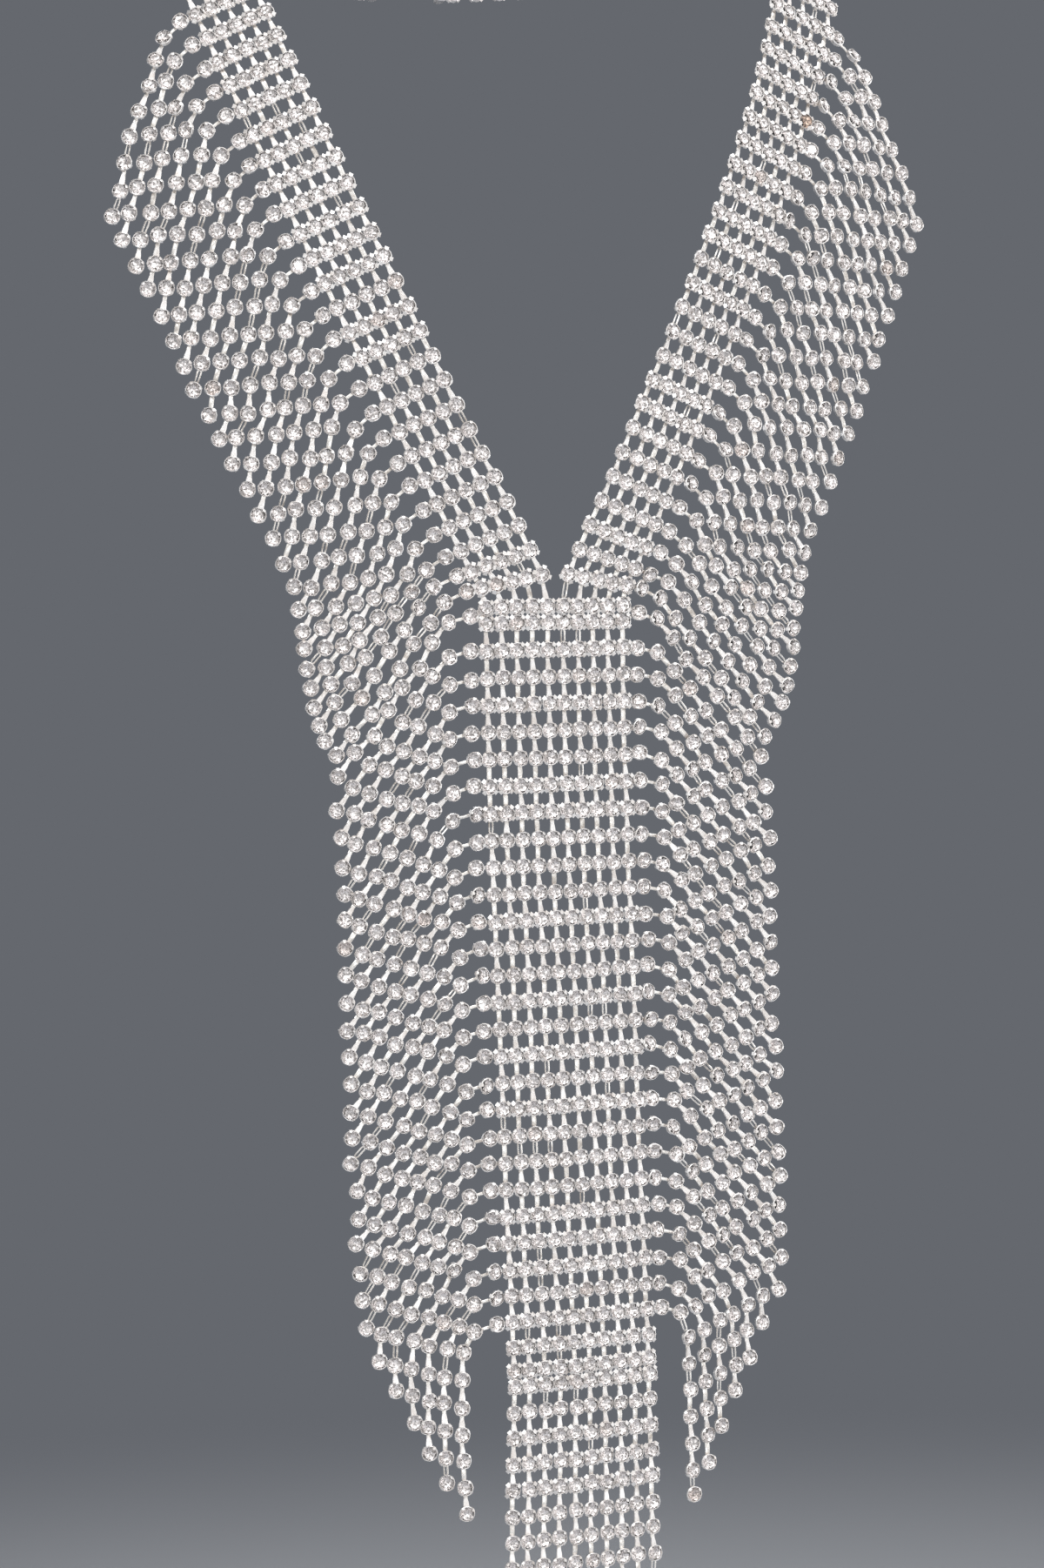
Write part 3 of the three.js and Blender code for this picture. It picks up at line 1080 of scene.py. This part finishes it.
@dataclass
class Band:
    """Five cup chains side by side on each side of the necklace, packed in sections.

    Seats are kept by side, row and column. Chance makes them, and their links, irregular.
    """

    chest: ChestForm
    chance: Chance
    node: str = "band"
    row_count: int = 1
    sections: Sections = ()
    seats: dict[tuple[Side, int, int], Seat] = field(default_factory=dict)

    def works(self, beyond: Band | None = None) -> list[ChainWork]:
        """The work of each packed section.

        Args:
            beyond: The band that goes on from the last row. With None it is soldered to a bar.

        Returns:
            One work for each section of each side.
        """
        works = []
        for side in Side:
            for name, first, last in self.sections:
                work = ChainWork(f"{self.node}_{side.word}_{name}")
                for row in range(first, last + 1):
                    for column in range(BAND_COLUMNS):
                        seat = self.seats[side, row, column]
                        beside = self.seats.get((side, row, column - 1))
                        above = self.seats.get((side, row + 1, column))
                        if beyond and not above:
                            above = beyond.seats[side, 0, column]
                        if above:
                            work.add(seat, beside)
                            work.links.append((seat, above, BAND_LINKS.pick(self.chance)))
                        else:
                            to_bar = unit(seat.along) * 2 * PLAIN_CUP.rim_radius
                            work.add(seat, beside, replace(seat, centre=seat.centre + to_bar))
                works.append(work)
        return works


@dataclass(frozen=True)
class ArmRow:
    """One row of an arm: its first stone, its slope and the first stone of the row above."""

    start: Place
    slope: float
    following: Place


@dataclass
class CollarArms(Band):
    """The two arms of the V, worked out for the right and mirrored."""

    node: str = "v_band"
    row_count: int = 25
    sections: Sections = (("lower", 0, 7), ("middle", 8, 15), ("upper", 16, 24))
    start_x: float = 3.6
    start_level: float = -25.5
    lean_at_start: float = 26.4
    lean_less_per_row_squared: float = 0.0131
    full_slope: float = 24.2
    slope_missing_at_start: float = 12.9
    rows_to_settle: float = 1.3
    slack: Slack = Slack(tilt_degrees=6.0, lift=0.22, shift=0.12)
    broad_from: int = 14  # from here up all cups have broad prongs
    broad_share_below: float = 0.35
    dulled_stone: tuple[Side, int, int] = (Side.RIGHT, 20, 4)  # its foil has gone brown
    rows: list[ArmRow] = field(default_factory=list)

    def place(self, row: ArmRow, column: float) -> Place:
        """The place of a column of a row, before mirroring."""
        return self.chest.walk(row.start, row.slope, column * CUP_PITCH) if column else row.start

    def lay_rows(self) -> None:
        """Works out where each row starts and how it slopes."""
        start = (self.start_x, self.start_level)
        for index in range(self.row_count):
            settling = math.exp(-index / self.rows_to_settle)
            slope = self.full_slope - self.slope_missing_at_start * settling
            lean = self.lean_at_start - self.lean_less_per_row_squared * index**2
            following = self.chest.walk(start, lean - 90, CHAIN_PITCH)
            self.rows.append(ArmRow(start, slope, following))
            start = following

    def build(self) -> None:
        """Seats every stone of both arms."""
        self.lay_rows()
        for side in Side:
            for index, row in enumerate(self.rows):
                share = repeatable(index * side.value)
                broad = index >= self.broad_from or share < self.broad_share_below
                cup = BROAD_CUP if broad else PLAIN_CUP
                along = self.chest.point(row.following) - self.chest.point(row.start)
                along[0] *= side.value
                for column in range(BAND_COLUMNS):
                    x, level = self.place(row, column)
                    place = (side.value * x, level)
                    seat = Seat(self.chest.point(place), self.chest.normal(place), along, cup=cup)
                    self.seats[side, index, column] = self.slack.disturb(seat, self.chance)


@dataclass
class NeckStretch(Band):
    """The stretch from the top of each arm over the shoulder to the end bar at the nape."""

    node: str = "neck_band"
    row_count: int = 22
    sections: Sections = (("front", 0, 9), ("back", 10, 21))
    pull_front: float = 35.0
    pull_nape: float = 46.0
    nape_rise: float = 2.0
    half_bar: float = 1.9
    curve_steps: int = 200
    slack: Slack = Slack(tilt_degrees=3.0, lift=0.1, shift=0.08)

    @staticmethod
    def _cubic(handles: Sequence[np.ndarray], t: np.ndarray) -> np.ndarray:
        """The points of a cubic curve at shares of its run."""
        p0, p1, p2, p3 = handles
        return (1 - t) ** 3 * p0 + 3 * (1 - t) ** 2 * t * p1 + 3 * (1 - t) * t**2 * p2 + t**3 * p3

    def _curve(self, handles: Sequence[np.ndarray]) -> tuple[np.ndarray, np.ndarray]:
        """Even points along a cubic curve, one for each row.

        Args:
            handles: The curve's two ends and, between them, its two handles.

        Returns:
            The points and the directions at them.
        """
        shares = np.linspace(0, 1, self.curve_steps + 1)[:, None]
        steps = np.linalg.norm(np.diff(self._cubic(handles, shares), axis=0), axis=1)
        lengths = np.concatenate([[0], np.cumsum(steps)])
        wanted = np.linspace(0, lengths[-1], self.row_count)
        at = np.interp(wanted, lengths, shares[:, 0])[:, None]
        p0, p1, p2, p3 = handles
        ways = (1 - at) ** 2 * (p1 - p0) + 2 * (1 - at) * at * (p2 - p1) + at**2 * (p3 - p2)
        return self._cubic(handles, at), ways

    def build(self, arms: CollarArms) -> None:
        """Seats every stone of both stretches.

        Args:
            arms: The arms that the stretches go on from.
        """
        top = arms.rows[-1]
        first, start = self.chest.point(top.start), self.chest.point(top.following)
        leaving = unit(start - first) * self.pull_front
        middle = self.chest.point(arms.place(top, (BAND_COLUMNS - 1) / 2))
        across_at_start = unit(middle - first)
        _, bar_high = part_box("end_bar_right")
        bar_edge = bar_high[0] / MM + SEAM + self.half_bar
        half_height = (BAND_COLUMNS - 1) * CUP_PITCH / 2
        end = np.array([bar_edge, METAL_THICKNESS / 2 + SEAM, half_height])
        arriving = end + [self.pull_nape, 0, self.nape_rise]
        points, ways = self._curve([start, start + leaving, arriving, end])
        for index in range(self.row_count):
            share = index / (self.row_count - 1)
            turn = share * share * (3 - 2 * share)
            along = unit(ways[index])
            across = across_at_start * (1 - turn) + np.array([0, 0, -1.0]) * turn
            across = unit(across - along * np.dot(across, along))
            normal = unit(np.cross(across, along))
            for side in Side:
                mirror = np.array([side.value, 1, 1])
                for column in range(BAND_COLUMNS):
                    centre = (points[index] + across * column * CUP_PITCH) * mirror
                    seat = Seat(centre, normal * mirror, along * mirror, cup=BROAD_CUP)
                    self.seats[side, index, column] = self.slack.disturb(seat, self.chance)


# ------------------------------------------------------------------------------- panel and tail


@dataclass
class CentrePanel:
    """Ten cup chains side by side, with soldered double rows at the top and above the tail."""

    chest: ChestForm
    chance: Chance
    arms: CollarArms
    drop: float = 8.45
    fringed_rows: int = 28
    swing_degrees: float = 0.9
    rows_to_swing: int = 14
    low_rows_from: int = 26
    low_pitch: float = 6.87
    short_link: float = 6.3
    tail_stones: int = 8
    tail_lean_degrees: float = 2.9
    tail_spread_per_mm: float = 0.0012
    sections: Sections = (
        ("centre_panel_top", 0, 9),
        ("centre_panel_middle", 10, 19),
        ("centre_panel_bottom", 20, 29),
        ("tail_tassel", 30, 38),
    )
    slack: Slack = Slack(tilt_degrees=6.0, lift=0.2, shift=0.12)
    tail_slack: Slack = Slack(tilt_degrees=8.0, lift=0.3, shift=0.2)
    broad_share: float = 0.45
    levels: list[float] = field(default_factory=list)
    seats: dict[tuple[int, int], Seat] = field(default_factory=dict)

    @property
    def tail_head(self) -> int:
        """The row that the tail hangs from."""
        return self.fringed_rows + 2

    def lay_levels(self) -> None:
        """Works out the level of each row, down to the last row of the tail."""
        rows = range(2, self.fringed_rows + 1)
        pitches = [self.low_pitch if row >= self.low_rows_from else CHAIN_PITCH for row in rows]
        pitches = [DOUBLE_PITCH, *pitches, self.short_link, DOUBLE_PITCH]
        self.levels = [self.arms.start_level - self.drop]
        for pitch in pitches + [self.low_pitch] * self.tail_stones:
            self.levels.append(self.levels[-1] - pitch)

    def swing(self, row: int) -> float:
        """How far the panel swings at a row, in degrees."""
        return self.swing_degrees * min(1.0, row / self.rows_to_swing)

    def place(self, across: float, row: int, drop: float = 0.0) -> Place:
        """A place across from the panel's middle, on a row or a drop below it.

        The tail hangs more nearly plumb than the panel above it, and its chains spread a little.

        Args:
            across: How far across, before the panel swings.
            row: The row's number, from the top.
            drop: How far below the row.

        Returns:
            The place on the chest.
        """
        swing = math.radians(self.swing(row))
        level = self.levels[row] - drop
        below = max(0.0, self.levels[self.tail_head] - level)
        spread = across * (1 + self.tail_spread_per_mm * below)
        lean = below * math.sin(math.radians(self.tail_lean_degrees))
        swung = (level - self.arms.start_level) * math.sin(swing)
        return spread * math.cos(swing) - swung - lean, level + across * math.sin(swing)

    def build(self) -> None:
        """Seats every stone of the panel and the tail."""
        self.lay_levels()
        for row in range(len(self.levels)):
            slack = self.tail_slack if row > self.tail_head else self.slack
            double = row in (0, 1, self.tail_head - 1, self.tail_head)
            cup = BROAD_CUP if double or repeatable(row) < self.broad_share else PLAIN_CUP
            for column in range(PANEL_COLUMNS):
                across = (column - (PANEL_COLUMNS - 1) / 2) * CUP_PITCH
                place = self.place(across, row)
                here = self.chest.point(place)
                along = here - self.chest.point(self.place(across, row, 1.0))
                seat = Seat(here, self.chest.normal(place), along, cup=cup)
                self.seats[row, column] = slack.disturb(seat, self.chance)

    def _above(self, row: int, column: int) -> Seat:
        """The seat that a stone's link goes up to; the top row hangs from the arms.

        Args:
            row: The stone's row.
            column: Its column.

        Returns:
            The seat above it.
        """
        if row:
            return self.seats[row - 1, column]
        half = PANEL_COLUMNS // 2
        side = Side.RIGHT if column >= half else Side.LEFT
        return self.arms.seats[side, 0, column - half if column >= half else half - 1 - column]

    def works(self) -> list[ChainWork]:
        """The work of each packed section and of the tail, whose chains hang side by side, free.

        Returns:
            One work for each section, from the top down.
        """
        works = []
        for node, first, last in self.sections:
            work = ChainWork(node)
            for row, column in product(range(first, last + 1), range(PANEL_COLUMNS)):
                seat, above = self.seats[row, column], self._above(row, column)
                free = row > self.tail_head
                beside = None if free else self.seats.get((row, column - 1))
                if row in (1, self.tail_head):
                    work.add(seat, beside, above)
                else:
                    work.add(seat, beside)
                    work.links.append((seat, above, BAND_LINKS.pick(self.chance)))
            works.append(work)
        return works


# ------------------------------------------------------------------------------------ the fringe


@dataclass(frozen=True)
class FringeHead:
    """Where a strand starts: its head's place and slope, its stones' room, the cups beside it."""

    place: Place
    slope: float
    room: float
    beside: list[Seat]


@dataclass
class Fringe:
    """The strands of one side, each a head and eight hanging stones, worked out towards +X."""

    chest: ChestForm
    chance: Chance
    arms: CollarArms
    panel: CentrePanel
    side: Side
    free_turns: tuple[float, ...]
    room_on_arm: float
    room_on_panel: float
    first_key: int
    hanging_stones: int = 8
    free_strands: int = 2
    turns: tuple[float, ...] = (14.0, 34.0)
    lengths: tuple[float, ...] = (6.2, 6.7)
    later_turn: float = 30.0
    least_turn_share: float = 0.85
    turn_share_spread: float = 0.3
    highest_swing: float = -20.0
    room_spread: float = 0.3
    neighbours: int = 60
    combs: tuple[int, ...] = (6, 6, 5, 5, 5, 5, 5, 5, 5, 5)
    slack: Slack = Slack(tilt_degrees=15.0, lift=0.5, shift=0.36)
    slack_at_head: Slack = Slack(tilt_degrees=26.0, lift=0.5, shift=0.36)
    loose_at_head: int = 3
    strands: list[list[Seat]] = field(default_factory=list)

    def heads(self) -> list[FringeHead]:
        """The strands' heads, from the lowest up.

        Returns:
            One head for each strand.
        """
        sign = self.side.value
        outer = (PANEL_COLUMNS / 2 + 0.5) * CUP_PITCH
        edge = PANEL_COLUMNS - 1 if self.side is Side.RIGHT else 0
        heads = []
        panel_rows = [(row, 0.0) for row in range(self.panel.fringed_rows - 1, 1, -1)]
        for row, drop in [*panel_rows, (0, DOUBLE_PITCH / 2)]:
            x, level = self.panel.place(sign * outer, row, drop)
            beside = [self.panel.seats[row, edge]]
            if drop:
                beside.append(self.panel.seats[row + 1, edge])
            slope = -sign * self.panel.swing(row)
            heads.append(FringeHead((sign * x, level), slope, self.room_on_panel, beside))
        for index, row in enumerate(self.arms.rows):
            beside = [self.arms.seats[self.side, index, BAND_COLUMNS - 1]]
            place = self.arms.place(row, BAND_COLUMNS)
            heads.append(FringeHead(place, row.slope, self.room_on_arm, beside))
        return heads

    def hang(self) -> list[list[Place]]:
        """Hangs the strands one over the other.

        A strand hangs plumb where it can. Where a stone would lie on one of the strand below it,
        the link swings out until the stone has room. The lowest strands hang free, so they turn
        down sooner.

        Returns:
            The places of each strand's stones, its head first.
        """
        placed: list[np.ndarray] = []
        strands = []
        for number, head in enumerate(self.heads()):
            near = np.array(placed[-self.neighbours :])
            turns = self.free_turns if number < self.free_strands else self.turns
            stones, down = [head.place], head.slope
            for link in range(self.hanging_stones):
                key = self.first_key + 2 * (number * (self.hanging_stones + 1) + link)
                turn, length = self.later_turn, CHAIN_PITCH
                if link < len(turns):
                    turn, length = turns[link], self.lengths[link]
                clear = head.room + self.room_spread * repeatable(key + 1)
                share = self.least_turn_share + self.turn_share_spread * repeatable(key)
                down = min(90.0, down + turn * share)
                place = self.chest.walk(stones[-1], down, length)
                while down > self.highest_swing and self._crowded(near, place, clear):
                    down -= 1
                    place = self.chest.walk(stones[-1], down, length)
                stones.append(place)
            placed += [self.chest.point(place) for place in stones]
            strands.append(stones)
        return strands

    def _crowded(self, near: np.ndarray, place: Place, clear: float) -> bool:
        """Whether a stone at a place would lie on one of the stones near it."""
        point = self.chest.point(place)
        return len(near) > 0 and bool((np.linalg.norm(near - point, axis=1) < clear).any())

    def build(self) -> None:
        """Seats every stone of the side's strands."""
        mirror = np.array([self.side.value, 1, 1])
        for stones in self.hang():
            points = np.array([self.chest.point(place) for place in stones])
            strand = []
            for index, (place, point) in enumerate(zip(stones, points)):
                along = points[min(index + 1, len(points) - 1)] - points[max(index - 1, 0)]
                seat = Seat(point * mirror, self.chest.normal(place) * mirror, along * mirror)
                slack = self.slack_at_head if index < self.loose_at_head else self.slack
                strand.append(slack.disturb(seat, self.chance))
            self.strands.append(strand)

    def works(self) -> list[ChainWork]:
        """The work of each comb, from the lowest up.

        Returns:
            One work for each comb of strands.
        """
        works = []
        hung = zip(self.strands, self.heads())
        for number, count in zip(range(len(self.combs), 0, -1), self.combs):
            work = ChainWork(f"fringe_{self.side.word}_{number:02d}")
            for strand, head in islice(hung, count):
                work.add(strand[0], *head.beside)
                for above, seat in zip(strand, strand[1:]):
                    thin = above is strand[0]
                    style = LinkStyle.THIN if thin else FRINGE_LINKS.pick(self.chance)
                    work.add(seat)
                    work.links.append((seat, above, style))
            works.append(work)
        return works


# ------------------------------------------------------------------------- the nape's fastening


@dataclass(frozen=True)
class NapeFastening:
    """Two end bars with soldered rings, and the oval clasp that passes through the rings."""

    bar_width: float = 2.4
    edge: float = 0.35
    ring_radius: float = 2.4
    ring_wire: float = 0.7
    ring_steps: int = 28
    clasp_wire: float = 0.8
    bend_steps: int = 12
    wire_sides: int = 12
    # Places along the sleeve from its middle, and how much thicker than the wire it is there.
    sleeve: Sequence[tuple[float, float]] = ((-1.7, 0.05), (-1.5, 0.25), (1.5, 0.25), (1.7, 0.05))
    crease_degrees: float = 35.0

    def _tube(self, path: np.ndarray, wire: float) -> Template:
        """A closed round wire along a flat path.

        Args:
            path: An (n, 3) array of points in the XZ plane.
            wire: Radius of the wire.

        Returns:
            The wire's shape.
        """
        rings = []
        for index, point in enumerate(path):
            along = unit(path[(index + 1) % len(path)] - path[index - 1])
            axes = np.array([[-along[2], 0.0, along[0]], [0.0, 1.0, 0.0], along])
            rings.append(point + circle(self.wire_sides, wire, 0.0) @ axes)
        return Template.swept(rings, closed=True)

    def _bar(self, low: np.ndarray, high: np.ndarray) -> Template:
        """A bar with chamfered long edges and ends.

        Args:
            low: Its lowest corner.
            high: Its highest corner.

        Returns:
            The bar's shape.
        """
        cut, bottom, top = self.edge, low[2], high[2]
        rings = []
        for height, inset in ((bottom, cut), (bottom + cut, 0), (top - cut, 0), (top, cut)):
            (x0, y0), (x1, y1) = low[:2] + inset, high[:2] - inset
            corners = [(x0 + cut, y0), (x1 - cut, y0), (x1, y0 + cut), (x1, y1 - cut)]
            corners += [(x1 - cut, y1), (x0 + cut, y1), (x0, y1 - cut), (x0, y0 + cut)]
            rings.append([(x, y, height) for x, y in corners])
        return Template.swept(rings)

    def _clasp(self) -> Template:
        """The oval clasp, with a sleeve that closes it in the middle of its lower side.

        Returns:
            The clasp's shape, in place.
        """
        low, high = (np.array(corner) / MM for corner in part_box("clasp"))
        middle = (low + high) / 2
        bend = (high[2] - low[2]) / 2 - self.clasp_wire
        straight = (high[0] - low[0]) / 2 - self.clasp_wire - bend
        path = []
        for side, step in product((1, -1), range(self.bend_steps + 1)):
            angle = math.radians(180 * step / self.bend_steps - 90 * side)
            across = side * straight + bend * math.cos(angle)
            path.append(middle + [across, 0.0, bend * math.sin(angle)])
        rings = []
        for x, thicker in self.sleeve:
            ring = circle(self.wire_sides, self.clasp_wire + thicker, x)[:, [2, 0, 1]]
            rings.append(middle - [0, 0, bend] + ring)
        return self._tube(np.array(path), self.clasp_wire).joined(Template.swept(rings))

    def _finish(self, shape: Template, node: str, finishes: Finishes) -> None:
        """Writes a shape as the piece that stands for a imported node.

        Args:
            shape: The shape, in place.
            node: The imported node.
            finishes: The shared materials.
        """
        batch = Batch()
        batch.add(shape)
        piece = batch.build(f"{node}_polished", [finishes.silver], self.crease_degrees)
        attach(piece, "root")
        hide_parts(node)
        LOG.info("%s: made as one polished piece", node)

    def make(self, finishes: Finishes) -> None:
        """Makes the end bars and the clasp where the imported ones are.

        Args:
            finishes: The shared materials.
        """
        for side in Side:
            node = f"end_bar_{side.word}"
            low, high = (np.array(corner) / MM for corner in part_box(node))
            if side is Side.RIGHT:
                low[0] = high[0] - self.bar_width
                ring_x = low[0] - self.ring_radius
            else:
                high[0] = low[0] + self.bar_width
                ring_x = high[0] + self.ring_radius
            middle = np.array([ring_x, *(low + high)[1:] / 2])
            path = middle + circle(self.ring_steps, self.ring_radius, 0.0)[:, [0, 2, 1]]
            ring = self._tube(path, self.ring_wire)
            self._finish(self._bar(low, high).joined(ring), node, finishes)
        self._finish(self._clasp(), "clasp", finishes)


# ------------------------------------------------------------------------------- the studio


@dataclass(frozen=True)
class Softbox:
    """A rectangular softbox that faces the necklace: its bearing, size and brightness.

    Azimuth 0 is in front of the wearer and 90 to the right, in degrees; lengths are in metres.
    """

    name: str
    azimuth: float
    elevation: float
    distance: float
    size: tuple[float, float]
    brightness: float

    def hang(self, aim: Vector) -> None:
        """Hangs the light so that it faces a point.

        Args:
            aim: The point.
        """
        light = bpy.data.lights.new(self.name, "AREA")
        light.shape = "RECTANGLE"
        light.size, light.size_y = self.size
        light.energy = self.brightness * math.pi * self.size[0] * self.size[1]
        lamp = bpy.data.objects.new(self.name, light)
        lamp.location = aim + bearing(self.azimuth, self.elevation) * self.distance
        lamp.rotation_euler = (aim - lamp.location).to_track_quat("-Z", "Y").to_euler()
        lamp.visible_camera = False
        bpy.context.scene.collection.objects.link(lamp)


@dataclass(frozen=True)
class Studio:
    """A pale paper floor in even grey air, soft lights and the camera; lengths are in metres."""

    floor_level: float = -0.80
    floor_radius: float = 3.4
    floor_sides: int = 96
    air: str = "#65686E"
    panel_wide: float = 13.0
    panel_high: float = 11.0
    panel_share: float = 0.76
    dim_panel: float = 0.86
    bright_panel: float = 1.6
    gap_brightness: float = 0.48
    brighter_to_right: tuple[float, float, float, float] = (-1.3, 1.9, 0.75, 1.4)
    dark_side: tuple[float, float, float] = (-0.35, 0.937, 0.0)
    dark_side_edge: tuple[float, float] = (-0.1, 0.6)
    azimuth: float = -16.6237
    elevation: float = 1.6929
    roll: float = 1.5486
    distance: float = 0.95197
    aim: tuple[float, float, float] = (-0.01026, -0.13094, -0.24054)
    seen_height: float = 0.4133
    sensor: float = 36.0
    softboxes: tuple[Softbox, ...] = (
        Softbox("key_softbox", -40, 33, 2.0, (1.1, 0.8), 1.5),
        Softbox("top_softbox", 25, 62, 1.8, (1.5, 0.8), 1.5),
        Softbox("low_softbox", 0, -8, 1.7, (1.5, 0.3), 1.3),
        Softbox("rim_softbox", 155, 26, 2.0, (1.2, 0.9), 1.8),
        Softbox("back_softbox", -135, 4, 1.9, (0.8, 1.3), 1.2),
        Softbox("side_softbox", 112, 4, 1.9, (0.7, 1.3), 1.0),
        Softbox("left_sparkle_lamp", -12, 20, 1.6, (0.08, 0.08), 9.0),
        Softbox("right_sparkle_lamp", 30, 26, 1.7, (0.08, 0.08), 9.0),
    )

    def _floor(self, finishes: Finishes) -> None:
        """Makes the round paper floor.

        Args:
            finishes: The shared materials.
        """
        rim = circle(self.floor_sides, self.floor_radius / MM, self.floor_level / MM)
        batch = Batch()
        batch.add(Template(rim, [tuple(range(self.floor_sides))]))
        batch.build("paper_floor", [finishes.paper], None)

    def _air(self) -> None:
        """Sets the even grey air, with light panels in front for the stones to mirror."""
        world = bpy.data.worlds.new("studio_air")
        world.use_nodes = True
        world.node_tree.nodes.clear()
        node = partial(add_node, world.node_tree)
        way = node("TexCoord").outputs["Generated"]
        part = node("SeparateXYZ", links={"Vector": way}).outputs
        ahead = node("Math", {"operation": "MULTIPLY", 1: -1.0}, {0: part["Y"]})
        azimuth = node("Math", {"operation": "ARCTAN2"}, {0: part["X"], 1: ahead})
        elevation = node("Math", {"operation": "ARCSINE"}, {0: part["Z"]})
        # Both angles are cut into panels with dark gaps between them, each panel with a number.
        lit_sides, numbers = {}, {}
        for axis, angle, size in ((0, azimuth, self.panel_wide), (1, elevation, self.panel_high)):
            steps = node("Math", {"operation": "DIVIDE", 1: math.radians(size)}, {0: angle})
            inside = node("Math", {"operation": "FRACT"}, {0: steps})
            edge = {"operation": "LESS_THAN", 1: self.panel_share}
            lit_sides[axis] = node("Math", edge, {0: inside})
            numbers[axis] = node("Math", {"operation": "FLOOR"}, {0: steps})
        lit = node("Math", {"operation": "MULTIPLY"}, lit_sides)
        cell = node("CombineXYZ", links=numbers)
        level = node("TexWhiteNoise", {"noise_dimensions": "3D"}, {"Vector": cell})
        ends = dict(zip(("From Min", "From Max", "To Min", "To Max"), self.brighter_to_right))
        right = node("MapRange", ends, {"Value": azimuth})
        ends = {"To Min": self.dim_panel, "To Max": self.bright_panel}
        strength = node("MapRange", ends, {"Value": level})
        panel = node("Math", {"operation": "MULTIPLY"}, {0: strength, 1: right})
        gap = {"To Min": self.gap_brightness}
        front = node("MapRange", gap, {"Value": lit, "To Max": panel})
        side = node("VectorMath", {"operation": "DOT_PRODUCT", 1: self.dark_side}, {0: way})
        low, high = self.dark_side_edge
        fade = {"interpolation_type": "SMOOTHSTEP", "From Min": low, "From Max": high}
        behind = node("MapRange", fade, {"Value": side})
        # The panels are only there to be mirrored: behind the necklace the air itself is seen.
        seen = node("LightPath").outputs["Is Camera Ray"]
        plain = node("Math", {"operation": "MAXIMUM"}, {0: behind, 1: seen})
        tone = node("Mix", {"data_type": "RGBA", 7: linear(self.air)}, {0: plain, 6: front})
        sky = node("Background", links={"Color": tone})
        node("OutputWorld", links={"Surface": sky})
        bpy.context.scene.world = world
        bpy.context.scene.view_settings.view_transform = "Standard"

    def _camera(self) -> None:
        """Sets the camera where the necklace is seen from."""
        back = bearing(self.azimuth, self.elevation)
        right = bearing(self.azimuth + 90, 0.0)
        up, roll = back.cross(right), math.radians(self.roll)
        rolled_right = right * math.cos(roll) - up * math.sin(roll)
        rolled_up = right * math.sin(roll) + up * math.cos(roll)
        axes = Matrix((rolled_right, rolled_up, back)).transposed()
        data = bpy.data.cameras.new("camera")
        data.sensor_width = self.sensor
        data.lens = self.sensor * self.distance / self.seen_height
        data.clip_start, data.clip_end = 0.05, 20.0
        camera = bpy.data.objects.new("camera", data)
        stand = Vector(self.aim) + back * self.distance
        camera.matrix_world = Matrix.Translation(stand) @ axes.to_4x4()
        bpy.context.scene.collection.objects.link(camera)
        bpy.context.scene.camera = camera

    def make(self, finishes: Finishes) -> None:
        """Makes the floor, the lights and the camera.

        Args:
            finishes: The shared materials.
        """
        self._floor(finishes)
        for softbox in self.softboxes:
            softbox.hang(Vector(self.aim))
        self._air()
        self._camera()
        LOG.info("studio: floor, lights and camera")


# ------------------------------------------------------------------------------------------ main


def main() -> None:
    """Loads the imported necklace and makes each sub-assembly over it, in order."""
    logging.basicConfig(level=logging.INFO, format="%(name)s: %(message)s")
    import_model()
    finishes = Finishes()
    chest = ChestForm()
    chance = np.random.default_rng(LAYING_SEED)

    arms = CollarArms(chest, chance)
    arms.build()
    neck = NeckStretch(chest, chance)
    neck.build(arms)
    panel = CentrePanel(chest, chance, arms)
    panel.build()
    works = arms.works(neck) + neck.works() + panel.works()
    for fringe in (
        Fringe(chest, chance, arms, panel, Side.LEFT, (14.0, 44.0), 4.7, 4.3, first_key=3),
        Fringe(chest, chance, arms, panel, Side.RIGHT, (22.0, 54.0), 4.95, 4.6, first_key=1003),
    ):
        fringe.build()
        works += fringe.works()
    stones = [seat for work in works for seat in work.seats]
    StoneSorting().sort(stones, np.random.default_rng(SORTING_SEED))
    arms.seats[arms.dulled_stone].tone = 1.0
    for work in works:
        work.make(finishes, chance)
    NapeFastening().make(finishes)
    Studio().make(finishes)

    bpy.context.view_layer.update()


if __name__ == "__main__":
    main()
